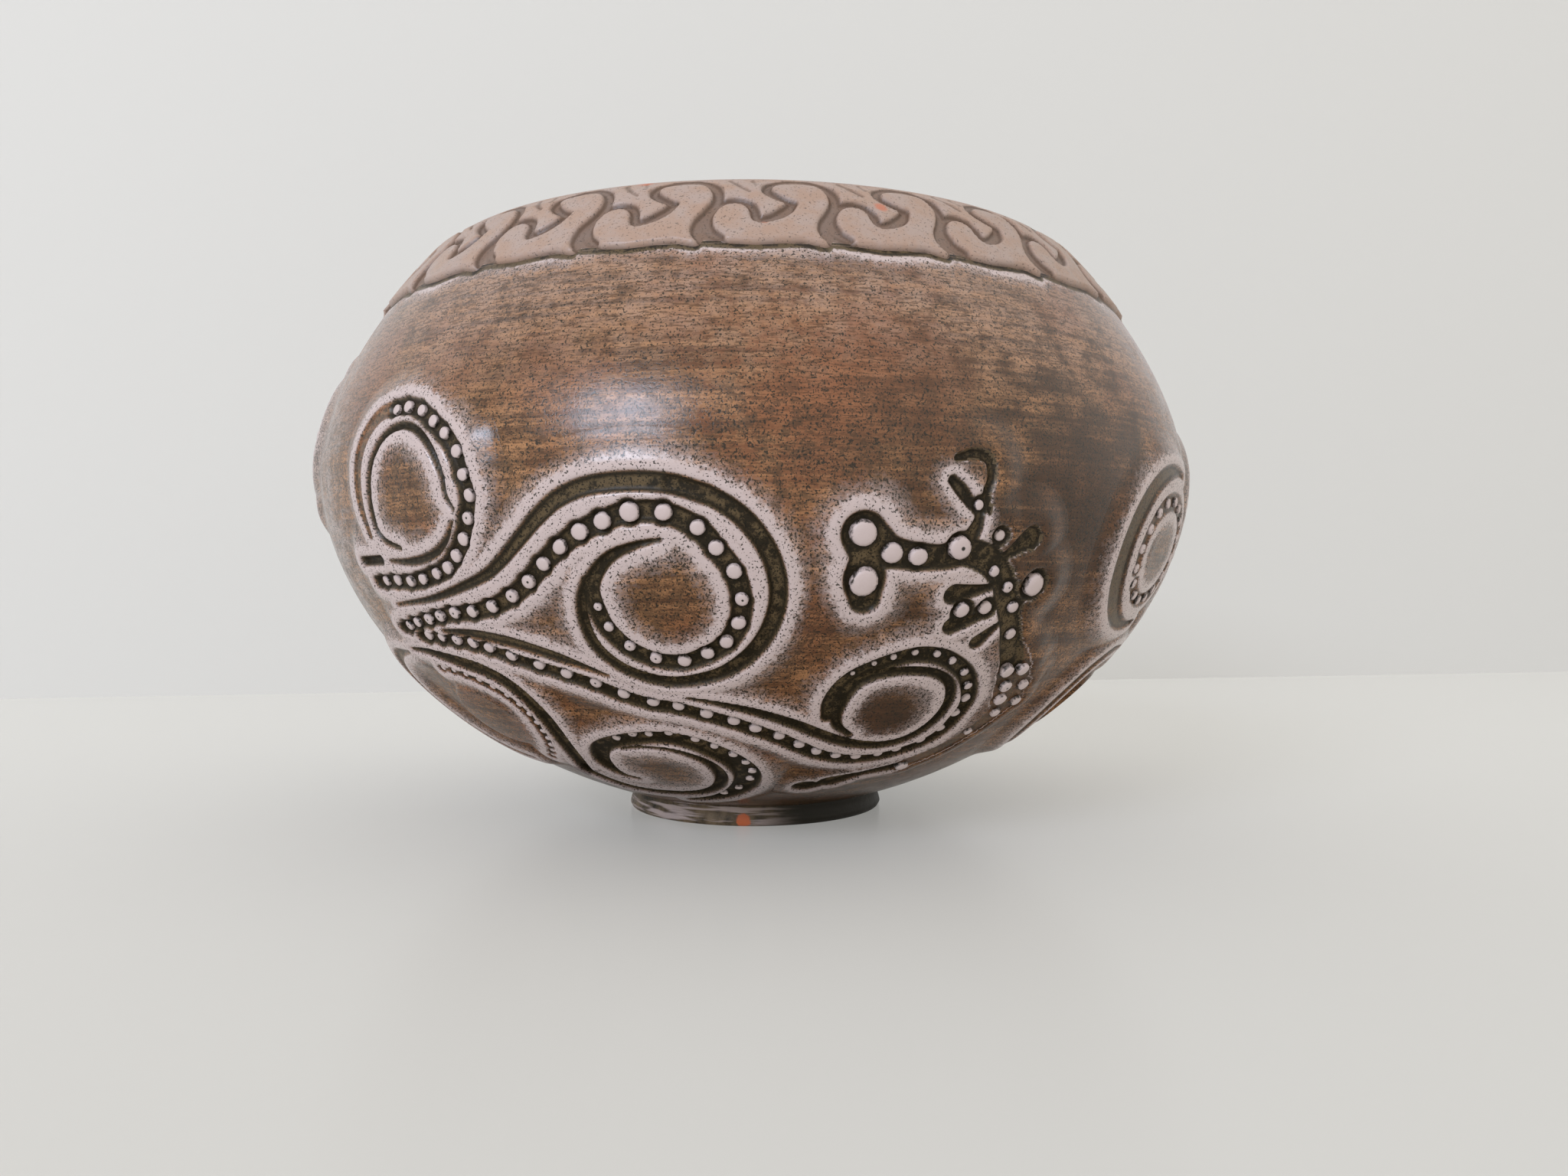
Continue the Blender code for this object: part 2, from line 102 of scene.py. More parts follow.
def linear(colour):
    """Linear RGB of an sRGB hex colour."""
    parts = [int(colour[i : i + 2], 16) / 255 for i in (1, 3, 5)]
    return [part / 12.92 if part <= 0.04045 else ((part + 0.055) / 1.055) ** 2.4 for part in parts]


@dataclass
class Stroke:
    """A cut of the gouge along a line of places: its half-widths, its depth as a share, its rubbed edge."""

    line: list
    widths: tuple
    depth: float = 1.0
    rub: float = RUB


@dataclass
class Sprig:
    """One carved ornament: its cuts, its beads (place and radius), the ring punched round each, its disc.

    The last beads, as many as faint says, stand in shallow rings.
    """

    node: str
    strokes: list
    beads: list
    punch: float = 0.6
    disc: tuple = None
    rub: float = RUB
    copies: tuple = (1, 2, 3)
    faint: int = 0

    def bead_depths(self):
        """Depth of the ring round each bead, as a share of a full cut."""
        full = len(self.beads) - self.faint
        return np.where(np.arange(len(self.beads)) < full, self.strokes[0].depth, FAINT)

    def turns(self):
        """How far each numbered copy is turned round the vase from the first, in degrees."""
        return [(number - self.copies[0]) * 360.0 / REPEATS for number in self.copies]


@dataclass
class Cut:
    """A cut laid out on the wall: its sprig, depth, rubbed edge, discs along it and gap round beads."""

    owner: Sprig
    depth: float
    rub: float
    degrees: np.ndarray
    up: np.ndarray
    half: np.ndarray
    gap: float = None


# Beads as the punch left them, along each scroll's lane
SHOULDER_BEADS = [
    (-48, 83.8), (-45.2, 83.9), (-42.4, 83.7), (-39.8, 84.1), (-37.1, 85), (-34.9, 86), (-33, 88),
    (-31.3, 90.7), (-30.1, 94), (-29.4, 97.5), (-29.9, 100.7), (-30.6, 104.3), (-32.2, 107.2),
    (-34, 109.3), (-36, 111.3), (-38.3, 112.2), (-40.3, 112),
]
MAIN_BEADS = [
    (-48.2, 75), (-45.5, 75.8), (-42.5, 76.5), (-39.8, 77.2), (-36.8, 77.9), (-33.7, 78.2), (-30.3, 79.2),
    (-27, 81.1), (-24.3, 83.6), (-22, 86.5), (-19.7, 89.2), (-17.3, 91.5), (-14.8, 93.1), (-12, 94.4),
    (-8.7, 94.3), (-5.5, 92), (-3.8, 88.9), (-2.1, 85.2), (-1.4, 80.6), (-1.8, 76.5), (-3.2, 73),
    (-5.4, 70.8), (-8.2, 69.2), (-11.5, 69.7), (-14.3, 72), (-16.2, 75.6), (-16.9, 79.2),
]
TRAILING_BEADS = [
    (-45, 73), (-42.2, 72.7), (-39.3, 72.3), (-36.6, 71.8), (-34, 71), (-31, 69.5), (-27.4, 67.7),
    (-23.9, 66), (-20.4, 64), (-17.1, 61.6), (-13.5, 59.7), (-10.2, 58.8), (-6.6, 57), (-3, 55),
    (0, 53), (3.5, 50.5), (6.8, 47.7), (10, 45.2), (13.7, 43.5), (17.5, 42.8), (21.5, 43.3),
    (24.5, 44.7), (28, 47.3), (30, 50.8), (30.5, 55.2), (30.4, 59.2), (29.2, 62.5), (27.3, 65.8),
    (24.6, 68.4), (22, 70), (19, 70.4), (16.4, 69.5), (14.2, 68.2), (11.8, 66.2),
]
LOWER_BEADS = [
    (-22.3, 48.8), (-19, 50.3), (-16.2, 50.7), (-13, 51.2), (-9.2, 49.4), (-6.5, 47), (-3.7, 44.2),
    (-1.7, 41.3), (-0.6, 37.5), (-1.1, 33.8), (-3.8, 29), (-7.8, 25.5),
]


def ring(centre, radius, start, sweep, count):
    """Places on a circle of the wall round a centre: millimetres of radius, degrees from its right."""
    degrees, up = centre
    millimetre = 1.0 / (math.radians(1) * ROOT_RADIUS * 1000)
    places = []
    for i in range(count):
        angle = math.radians(start + sweep * i / (count - 1))
        places.append((degrees + radius * math.cos(angle) * millimetre, up + radius * math.sin(angle)))
    return places


def beads(places, *radii):
    """Places with a radius each, spread evenly along the row between the given radii."""
    sizes = np.interp(np.linspace(0, 1, len(places)), np.linspace(0, 1, len(radii)), radii)
    return [(place, float(size)) for place, size in zip(places, sizes)]


def root_scroll(centre, copies):
    """A small scroll at the root of a group: a ring of beads, with a groove round its left side."""
    row = ring(centre, 9.3, 200, -340, 16)
    lane = Stroke(row, (1.0, 1.6, 1.6, 1.6, 1.0), 0.36)
    groove = Stroke(ring(centre, 14.6, 75, 210, 18), (0.5, 1.6, 2.3, 2.3, 1.6, 0.6), 0.42)
    return Sprig("root_scroll", [lane, groove], beads(row, 0.95), punch=0.4, disc=(*centre, 6.5),
                 copies=copies)


SIDE_BEADS = [
    (-46.5, 66), (-44.2, 65.6), (-42, 64.8), (-39.9, 63.7), (-38, 62.2), (-36.4, 60.2), (-35.4, 57.9),
    (-35, 55.3), (-35.2, 52.7), (-35.7, 50.1), (-36.5, 47.6), (-37.7, 45.2), (-39.2, 43), (-41, 41),
]

SPRIGS = [
    root_scroll((57.0, 89.6), (1, 2)),
    root_scroll((-78.0, 113.5), (3,)),
    Sprig(
        "shoulder_scroll",
        [
            Stroke([(-49.4, 83.8)] + SHOULDER_BEADS, (1.2, 1.5, 1.5, 1.5, 1.4), 0.95),
            Stroke([(-40.3, 112), (-42.6, 111.2), (-44.8, 108.6), (-46.6, 104), (-47.2, 98), (-46.6, 92)],
                   (1.3, 1.3, 1.2, 1.0, 0.5), 0.3),
            Stroke([(-41.3, 89.7), (-43.9, 91.1), (-45.1, 94), (-44.8, 100), (-43.5, 104.6), (-41.1, 107.9),
                    (-38.4, 109), (-35.9, 107.9), (-33.8, 105), (-32.5, 101), (-32.2, 97.6), (-31.5, 95.6)],
                   (0.35, 0.75, 0.6, 0.6, 0.6, 0.3)),
            Stroke([(-32, 93.6), (-33.6, 90.6), (-36.2, 88.4), (-40, 87.4), (-44, 87.6)],
                   (0.3, 0.7, 0.7, 0.3), 0.7),
            Stroke([(-51, 87.7), (-46.2, 87.8)], (0.8, 0.8)),
        ],
        beads(SHOULDER_BEADS, 1.0, 1.05, 1.1, 1.05, 1.0),
        disc=(-38.5, 99.3, 8.6),
    ),
    Sprig(
        "main_scroll",
        [
            Stroke([(-49.6, 74.7)] + MAIN_BEADS
                   + [(-17.0, 82.6), (-15.9, 85.6), (-14.1, 88), (-11.6, 89.5), (-9.2, 90.3)],
                   (1.1, 1.4, 1.5, 1.6, 1.65, 1.6, 1.6, 1.5, 0.3), 0.95),
            Stroke([(-47, 79.6), (-40, 80.6), (-35.5, 82), (-30, 84.5), (-27, 87), (-24, 90.6), (-21.5, 93.9),
                    (-19, 96.6), (-16, 98.3), (-12, 98.9), (-8, 98.5), (-4.5, 96.9)],
                   (0.3, 0.6, 0.9, 1.25, 1.45, 1.5), 0.74),
            Stroke([(-8, 98.5), (-4.5, 96.9), (-1.5, 94), (0.7, 90), (2, 85.5), (2.3, 80.5), (1.4, 75.4),
                    (-0.5, 71), (-3.5, 67.4), (-7, 65.6), (-10, 65.1), (-13, 66), (-15.9, 68.2), (-18, 71.8),
                    (-18.7, 76), (-18.4, 80.5), (-17.3, 84)],
                   (1.3, 1.45, 1.35, 1.3, 1.15, 1.0, 0.8), 0.97),
        ],
        beads(MAIN_BEADS, 1.05, 1.15, 1.2, 1.25, 1.5, 1.2, 1.15, 1.1, 0.75),
        disc=(-9.0, 79.9, 8.4),
    ),
    Sprig(
        "trailing_scroll",
        [
            Stroke([(-46.2, 73)] + TRAILING_BEADS + [(10.3, 63.4), (9.6, 60), (9.9, 56.5)],
                   (1.0, 1.4, 1.55, 1.55, 1.55, 1.5, 1.6, 1.2), 1.0),
            Stroke([(-8.5, 61.4), (-5, 60.2), (0, 58), (5, 55), (9, 52), (13, 49.4), (17, 47.9), (21, 47.8),
                    (24.2, 49.5), (26.3, 52.9), (27.1, 57), (26.7, 61), (25.1, 64.4), (22, 66.6),
                    (18.5, 67.1), (15, 66.4), (12.4, 64.3), (11.2, 61), (10.9, 57.5), (11.6, 54), (14, 51.2)],
                   (0.25, 0.9, 1.2, 1.3, 1.2, 1.0, 0.85, 0.9, 1.2, 0.5)),
            Stroke([(-40, 74.6), (-35, 74.1), (-30, 72.9), (-25.5, 70.9), (-22, 68.9), (-18, 66.3)],
                   (0.4, 1.0, 1.1, 1.0, 0.3), 0.66),
        ],
        beads(TRAILING_BEADS, 1.0, 1.1, 1.1, 1.1, 1.05, 0.95, 0.95, 0.7, 0.45),
        disc=(18.8, 57.8, 8.0),
    ),
    Sprig(
        "lower_scroll",
        [
            Stroke([(-24.7, 34.2), (-27.2, 35.4), (-28.5, 38.6), (-28.1, 42.5), (-26.2, 46), (-23, 48.3),
                    (-18.5, 49.9), (-14, 50.5), (-10, 49.2), (-6.8, 46.6), (-4, 43.4), (-2.2, 40),
                    (-1.5, 36.5), (-2.2, 32.5), (-4.6, 28.7), (-8.5, 25.4), (-13, 23.6), (-17, 22.9)],
                   (0.7, 1.7, 1.7, 1.8, 2.0, 2.3, 2.4, 2.3, 1.6, 0.8)),
            Stroke([(-36, 36), (-33.5, 31.8), (-30, 28.7), (-25.5, 27.3), (-20.5, 26.9), (-15.5, 27.3),
                    (-11.5, 28.6), (-8.2, 31.3), (-6.7, 34.8), (-6.7, 38.5), (-8, 42), (-10.6, 44.8),
                    (-14, 46.8), (-18, 47.3), (-22, 46.4)],
                   (1.5, 1.5, 1.4, 1.3, 1.1, 1.1, 0.9, 0.5, 0.3)),
        ],
        beads(LOWER_BEADS, 0.8),
        disc=(-16.7, 38.4, 7.6),
    ),
    Sprig(
        "side_scroll",
        [
            Stroke(SIDE_BEADS, (0.3, 0.7, 0.7, 0.7, 0.3), 0.55),
            Stroke([(-51, 70.2), (-46.7, 69.7), (-40.8, 67.8), (-36.8, 66), (-33.9, 62.9), (-32.4, 58),
                    (-32.2, 53), (-33, 47.5), (-34.2, 42), (-35.5, 38), (-36, 35.5)],
                   (0.3, 0.9, 1.5, 1.7, 1.7, 1.6, 1.5, 1.4), 0.95),
            Stroke([(-53, 69.4), (-59, 68.4), (-63.6, 64.2), (-65.2, 57.5), (-64.2, 50.5), (-61, 44.6),
                    (-56, 40.4), (-50, 38.4)], (0.3, 1.2, 1.6, 1.7, 1.6, 1.2, 0.4), 0.4),
        ],
        beads(SIDE_BEADS, 0.6),
        punch=0.25,
        disc=(-45.5, 53.0, 8.6),
    ),
    Sprig(
        "leaf_spray",
        [
            Stroke([(10.4, 91.3), (13.4, 88.6), (16.4, 87.8), (19, 87.8), (21.2, 88.8)],
                   (3.4, 2.4, 2.2, 2.0, 2.4), 0.95, 4.5),
            Stroke([(10.4, 91.3), (10.8, 87.4), (11, 83.6), (11.3, 80.8)], (3.4, 2.2, 3.3, 2.3), 0.95, 5.5),
            Stroke([(21.2, 88.8), (24.5, 87.3), (26.8, 84.6)], (2.2, 2.5, 2.2), 0.95, 0.0),
            Stroke([(26.8, 84.6), (28.3, 81), (30, 77), (32, 72), (34.4, 67.2)],
                   (2.2, 2.3, 2.1, 2.3, 2.4), 0.8, 0.0),
            Stroke([(32, 72), (34.8, 67), (36.8, 62.5), (38.4, 58.4), (37.6, 53), (35.6, 48), (33, 43.8),
                    (29.5, 40.4), (26, 38.3)],
                   (2.0, 3.3, 3.9, 3.5, 2.2, 1.8, 2.0, 2.2, 1.6), 0.30, 0.0),
            Stroke([(21.3, 89.5), (22.2, 92.5), (22.4, 94.4)], (1.6, 1.3, 0.8), 0.85, 2.4),
            Stroke([(26.5, 88), (28.6, 90.4), (29.4, 91)], (0.9, 1.4, 2.1), 0.9, 0.0),
            Stroke([(26, 83), (23.6, 82.2), (22.6, 81.9), (21.3, 81.6)], (0.6, 0.8, 1.3, 1.75), 1.0, 3.4),
            Stroke([(26.6, 78), (24.2, 76.8), (23.2, 76.4), (22.2, 76)], (0.5, 0.7, 1.1, 1.6), 1.0, 3.4),
            Stroke([(28.6, 76.4), (27, 73.8), (26.4, 72.8)], (0.5, 1.0, 1.4), 0.75, 2.4),
            Stroke([(19.4, 102.7), (21.3, 103.4), (22.9, 102.6), (23.3, 100), (22.9, 97.6), (23.6, 94.8)],
                   (0.7, 0.9, 1.0, 0.9, 0.8, 0.5), 0.95, 0.0),
            Stroke([(19, 99.4), (20.2, 97.7), (21.3, 95.9)], (0.8, 1.05, 0.8), 1.0, 3.4),
            Stroke([(26, 38.3), (20.5, 36.2), (15.5, 33.5)], (1.6, 1.2, 2.4), 0.9, 3.0),
            Stroke([(15.5, 33.5), (12.6, 31.8), (10.6, 31.6)], (1.6, 1.2, 2.4), 0.9, 3.0),
        ],
        [
            ((10.4, 91.3), 2.15), ((11, 83.6), 2.25), ((13.6, 88.2), 1.6), ((16.4, 87.7), 1.45),
            ((20.8, 89.2), 1.85), ((22.3, 95.8), 0.8), ((31.6, 83.2), 2.0), ((25.4, 91.2), 0.9),
            ((25.8, 85.3), 0.9), ((28.2, 82.6), 1.0), ((26, 79), 1.25), ((23, 78.6), 1.35),
            ((30, 79), 1.0), ((31.5, 73.7), 1.0), ((33.8, 66.3), 1.3), ((36.6, 66.5), 1.3),
            ((35.4, 62.7), 1.3), ((39, 62.7), 1.2), ((36.4, 59.3), 1.3), ((40.4, 58.5), 1.1),
            ((38, 55.5), 1.1), ((36, 50), 0.9), ((28.5, 38.9), 1.3),
        ],
        punch=0.9,
        rub=0.0,
        faint=9,
    ),
]

# Smudges of the slip, and pale patches of painted sheen: place, reach in metres, strength and slip. The three
# in rim colour, near the left and right edges, are painted sheen
SMUDGES_AND_SHEEN = [
    ((-68.0, 112.0), 0.026, 0.65, "rim"), ((-66.0, 84.0), 0.024, 0.65, "rim"),
    ((66.0, 118.0), 0.024, 0.6, "rim"), ((7.0, 110.0), 0.022, 0.6, "warm"),
    ((38.0, 98.0), 0.030, 1.0, "shade"), ((20.0, 108.0), 0.018, 0.45, "shade"),
    ((13.0, 103.0), 0.013, 0.5, "shade"), ((24.0, 58.0), 0.026, 0.8, "shade"),
    ((37.0, 97.0), 0.022, 0.3, "stain"), ((19.0, 58.0), 0.014, 0.4, "stain"),
]

# Chips to the bare clay: place and reach in metres on the rim, and a point of the foot
CHIPS = [((1.0, 144.0), 0.0010), ((16.2, 149.0), 0.0012), ((-15.6, 157.6), 0.0020)]
FOOT_CHIP = (-0.0023, -0.0272, 0.0012)

# One rim wave: degrees where it starts, cells across it, and its lowest and highest row up the wall
WAVE_START = -21.0
WAVE_CELLS = 54
WAVE_SPAN = (137.2, 156.4)
# Its cuts: degrees from the wave's start, millimetres up the wall
WAVE_STROKES = [
    Stroke([(10.7, 148.8), (9, 150.2), (7.5, 152.2), (8, 154.2), (10, 155.4), (12.5, 155.7),
            (14.7, 154.6), (16, 152.2), (16.2, 149.5), (15.4, 146.5), (14.4, 144), (14.3, 141.6),
            (15.4, 139.6), (17, 138.4)],
           (0.6, 0.8, 0.75, 0.7, 0.75, 0.85, 0.9, 1.0, 1.25, 1.3)),
    Stroke([(10.7, 148.8), (9.8, 146.8), (8.2, 145.1), (6.6, 144.4), (6.05, 145.3), (5.8, 147), (5, 148.6),
            (3.3, 149.3), (1.5, 148.4), (0.3, 146.3), (0, 143.8), (0.6, 141.6), (2, 140.1)],
           (0.75, 1.05, 0.85, 0.75, 0.7, 0.75, 1.0, 1.1, 0.6)),
    Stroke([(2.6, 156), (3.8, 153.6), (5.2, 151.8)], (0.3, 0.35, 0.2), 0.35),
    Stroke([(5.6, 156), (6.1, 153.8)], (0.25, 0.2), 0.3),
]
# Line between one wave and the next, and the wave's lower edge
WAVE_SIDE = [(138, 16.2), (139.6, 15.4), (141.6, 14.3), (144, 14.4), (146.5, 15.4), (149.5, 16.2),
             (152.2, 16), (154.6, 14.8)]
WAVE_EDGE = [(0, 139.6), (2.5, 139.2), (6, 138.8), (9, 139.2), (11.5, 139.5), (14, 138.5), (15, 138.9)]


def wave_foot(degrees):
    """Millimetres up the wall of the waves' lower edge, round the vase."""
    return np.interp((degrees - WAVE_START) % (360 / WAVES), *np.transpose(WAVE_EDGE))


# Kinds of property: a length and a colour
Length = partial(FloatProperty, unit="LENGTH")
Colour = partial(FloatVectorProperty, subtype="COLOR")


class TurnedSizes(bpy.types.PropertyGroup):
    """Sizes of the pieces that are turned on the wheel."""

    belly_radius: Length(name="Belly radius", description="Outer radius at the widest line",
                         default=(BODY_HIGH.x - BODY_LOW.x) / 2)
    belly_height: Length(name="Belly height", description="Height of the widest line", default=0.0702)
    mouth_radius: Length(name="Mouth radius", description="Outer radius at the lip", default=0.0655)
    rim_height: Length(name="Rim height", description="Height at which the outer line ends", default=0.1160)
    shoulder_power: FloatProperty(name="Shoulder fullness", description="Power of the curve over the belly",
                                  default=1.62)
    bowl_power: FloatProperty(name="Bowl fullness", description="Power of the curve under the belly",
                              default=1.87)
    wall: Length(name="Wall", description="Thickness of the wall", default=0.0060)
    foot_radius: Length(name="Foot radius", description="Outer radius of the foot ring",
                        default=(FOOT_HIGH.x - FOOT_LOW.x) / 2)
    steps: IntProperty(name="Steps", description="Facets round the turned pieces", default=480)


class CarvingSizes(bpy.types.PropertyGroup):
    """Sizes of the carved ornament."""

    lip: Length(name="Lip", description="Height of the raised edge of a cut", default=0.0013)
    cut: Length(name="Cut", description="Depth of a full cut below the raised edge", default=0.0012)
    fade: Length(name="Fade", description="Width over which a raised edge sinks into the wall",
                 default=0.0065)
    bead_rise: FloatProperty(name="Bead rise", description="Height of a bead as a share of its radius",
                             default=0.65)
    wave_rise: Length(name="Wave rise", description="Height of the wave border", default=0.0009)
    grain: Length(name="Mesh grain", description="Cell of the carved surface", default=0.0004)


class SlipColours(bpy.types.PropertyGroup):
    """Colours of the clays and slips."""

    field: Colour(name="Field", description="Brown slip of the plain wall", default=linear("#A87951"))
    # The shade is also painted shade towards the foot and along the waves' lower edge
    shade: Colour(name="Shade", description="Darker brush marks in the slip", default=linear("#4E331E"))
    warm: Colour(name="Warm", description="Red-brown clay that shows through the slip",
                 default=linear("#8A5535"))
    rubbed: Colour(name="Rubbed edge", description="Pale slip where edges are rubbed",
                   default=linear("#CBB9B5"))
    groove: Colour(name="Groove", description="Brown of a cut's floor under the stain",
                   default=linear("#5E4F38"))
    # The stain is also painted shade just over the foot and painted shadow under the waves
    stain: Colour(name="Stain", description="Dark stain left in the cuts", default=linear("#1F1B11"))
    # The rim colour is also painted top light and sheen over the shoulder and near the edges
    rim: Colour(name="Rim", description="Greyish pink slip of the rim", default=linear("#AD978C"))
    chip: Colour(name="Chip", description="Bare terracotta in a chip", default=linear("#C4673F"))
    foot: Colour(name="Foot", description="Darkened clay of the foot ring", default=linear("#78664F"))


class Wall:
    """The outer line of the vase: radius, height and outward direction at each place up the wall."""

    def __init__(self, sizes):
        heights = np.linspace(WALL_START, sizes.rim_height, 4000)
        over = heights >= sizes.belly_height
        full = sizes.shoulder_power
        mouth = (1 - (sizes.mouth_radius / sizes.belly_radius) ** full) ** (1 / full)
        reach = np.where(over, (sizes.rim_height - sizes.belly_height) / mouth, sizes.belly_height)
        power = np.where(over, full, sizes.bowl_power)
        share = np.abs(heights - sizes.belly_height) / reach
        self.heights = heights
        self.radii = sizes.belly_radius * (1 - share**power) ** (1 / power)
        steps = np.hypot(np.diff(heights), np.diff(self.radii))
        arc = np.concatenate([[0.0], np.cumsum(steps)])
        arc -= np.interp(sizes.belly_height, heights, arc)
        self.ups = arc * 1000 + BELLY_MARK
        slope = np.gradient(self.radii, heights)
        length = np.hypot(1, slope)
        self.out = 1 / length
        self.rise = -slope / length
        self.rim = self.ups[-1]
        self.seam = self.rim - COLLAR
        self.foot = self.up_at_radius(sizes.foot_radius)

    def up_at_radius(self, radius):
        """Place up the wall, under the belly, where it has this radius."""
        under = self.ups < BELLY_MARK
        return float(np.interp(radius, self.radii[under], self.ups[under]))

    def degree(self, up):
        """Millimetres in one degree round the wall."""
        return np.interp(up, self.ups, self.radii) * 1000 * math.radians(1)

    def profile(self, up, lift):
        """(radius, height) at places up the wall, moved out by a lift in metres."""
        radius = np.interp(up, self.ups, self.radii) + lift * np.interp(up, self.ups, self.out)
        height = np.interp(up, self.ups, self.heights) + lift * np.interp(up, self.ups, self.rise)
        return np.stack([radius, height], -1)

    def places(self, degrees, up, lift):
        """Points in space of places on the wall."""
        radius, height = self.profile(up, lift).T
        angle = np.radians(degrees)
        return np.stack([radius * np.sin(angle), -radius * np.cos(angle), height], -1)

    def point(self, degrees, up, lift):
        """One place on the wall, as a point in space."""
        return tuple(self.places(np.array([degrees]), np.array([up]), lift)[0].tolist())

    def outward(self, degrees, up):
        """Directions that point out of the wall."""
        angle = np.radians(degrees)
        out = np.interp(up, self.ups, self.out)
        rise = np.interp(up, self.ups, self.rise)
        return np.stack([out * np.sin(angle), -out * np.cos(angle), rise], -1)


def smooth(share):
    """Eases a share between 0 and 1."""
    share = np.clip(share, 0.0, 1.0)
    return share * share * (3 - 2 * share)


def sunk(distance, floor, width):
    """How far down the side of a cut a place is: 1 on its floor, 0 outside."""
    return 1 - smooth((distance + floor) / width)


def samples(wall, stroke):
    """Points every half millimetre along the smooth line of a stroke: degrees, up and half-width."""
    line = np.array(stroke.line, float)
    before = np.vstack([2 * line[0] - line[1], line[:-1]])
    ahead = np.vstack([line[1:], 2 * line[-1] - line[-2]])
    tangent = (ahead - before) / 2
    found = []
    for i in range(len(line) - 1):
        t = np.linspace(0, 1, 24, endpoint=i == len(line) - 2)[:, None]
        found.append(
            (2 * t**3 - 3 * t**2 + 1) * line[i] + (t**3 - 2 * t**2 + t) * tangent[i]
            + (3 * t**2 - 2 * t**3) * line[i + 1] + (t**3 - t**2) * tangent[i + 1]
        )
    dense = np.vstack(found)
    across = np.diff(dense[:, 0]) * wall.degree(dense[:-1, 1])
    length = np.concatenate([[0.0], np.cumsum(np.hypot(across, np.diff(dense[:, 1])))])
    even = np.linspace(0, length[-1], max(int(length[-1] / 0.5), 2))
    degrees = np.interp(even, length, dense[:, 0])
    up = np.interp(even, length, dense[:, 1])
    half = np.interp(even / length[-1], np.linspace(0, 1, len(stroke.widths)), stroke.widths)
    return degrees, up, half


def edge_of(wall, degrees, up, cut, turn):
    """Millimetres from places to the edge of a cut that is turned round the axis; negative inside it."""
    distance = np.full(degrees.shape, FAR)
    slack = 3.0
    span = REACH / wall.degree(up) + slack
    middle = (cut.degrees.min() + cut.degrees.max()) / 2
    turned_back = (degrees - turn - middle + 180) % 360 - 180 + middle
    near = (turned_back > cut.degrees.min() - span) & (turned_back < cut.degrees.max() + span)
    near &= (up > cut.up.min() - REACH - slack) & (up < cut.up.max() + REACH + slack)
    chosen = np.flatnonzero(near)
    for part in np.array_split(chosen, len(chosen) // 20000 + 1):
        across = (turned_back[part, None] - cut.degrees) * wall.degree(up[part])[:, None]
        distance[part] = (np.hypot(across, up[part, None] - cut.up) - cut.half).min(1)
    return distance


class Carving:
    """All the cuts of the wall, with how far any place is from them and how deep they go there."""

    def __init__(self, wall, sizes):
        self.wall = wall
        self.sizes = sizes
        self.cuts = []
        for sprig in SPRIGS:
            for stroke in sprig.strokes:
                self.cuts.append(Cut(sprig, stroke.depth, stroke.rub, *samples(wall, stroke)))
            places = np.array([place for place, radius in sprig.beads], float)
            rings = np.array([radius + sprig.punch for place, radius in sprig.beads])
            depths = sprig.bead_depths()
            for depth in np.unique(depths):
                at = depths == depth
                self.cuts.append(Cut(sprig, depth, sprig.rub, *places[at].T, rings[at], sprig.punch))

    def read(self, degrees, up, sprig=None):
        """Depth as a share, place in the rubbed edge, and distances to own cuts, others and beads."""
        own, other, rubbed, bead = np.full((4, len(degrees)), FAR)
        depth = np.zeros(len(degrees))
        for cut in self.cuts:
            for turn in cut.owner.turns():
                edge = edge_of(self.wall, degrees, up, cut, turn)
                depth = np.maximum(depth, cut.depth * sunk(edge, *GOUGE_SLOPE))
                outside = edge * RUB / cut.rub if cut.rub else FAR
                rubbed = np.minimum(rubbed, np.where(edge > 0, outside, edge))
                if cut.gap is not None:
                    bead = np.minimum(bead, edge + cut.gap)
                if cut.owner is sprig and turn == 0.0:
                    own = np.minimum(own, edge)
                else:
                    other = np.minimum(other, edge)
        return depth, rubbed, own, other, bead

    def disc(self, degrees, up, sprig):
        """How far inside its plain disc a place is, from 0 to 1."""
        if sprig.disc is None:
            return np.zeros(degrees.shape)
        middle, height, radius = sprig.disc
        reach = np.hypot((degrees - middle) * self.wall.degree(up), up - height)
        return smooth((radius + DISC_BLUR - reach) / (2 * DISC_BLUR))

    def lift(self, edge, depth, disc):
        """Height of the carved surface over the wall, in metres."""
        fall = smooth((edge - EDGE_TOP) / (self.sizes.fade * 1000 - EDGE_TOP)) * (1 - DISC_LEVEL * disc)
        return self.sizes.lip * (1 - fall) - self.sizes.cut * depth


def fill(tree, node, inputs):
    """Fills a node's inputs, named or in order, with values or with links from sockets and other nodes."""
    for key, value in inputs.items() if isinstance(inputs, dict) else enumerate(inputs):
        socket = node.inputs[key]
        if isinstance(value, bpy.types.Node):
            value = next(output for output in value.outputs if output.enabled)
        if isinstance(value, bpy.types.NodeSocket):
            tree.links.new(value, socket)
        else:
            socket.default_value = (*value, 1) if socket.type == "RGBA" else value


def add_node(tree, kind, inputs=(), **settings):
    """Adds a node with its settings and fills its inputs."""
    made = tree.nodes.new(kind)
    for name, value in settings.items():
        setattr(made, name, value)
    fill(tree, made, inputs)
    return made


def new_tree(name, sockets):
    """A geometry tree with named inputs, what adds its nodes, its inputs and what fills its end."""
    tree = bpy.data.node_groups.new(name, "GeometryNodeTree")
    for label, kind in sockets:
        tree.interface.new_socket(name=label, in_out="INPUT", socket_type=f"NodeSocket{kind}")
    tree.interface.new_socket(name="Geometry", in_out="OUTPUT", socket_type="NodeSocketGeometry")
    add = partial(add_node, tree)
    finish = partial(fill, tree, add("NodeGroupOutput"))
    return tree, add, add("NodeGroupInput").outputs, finish


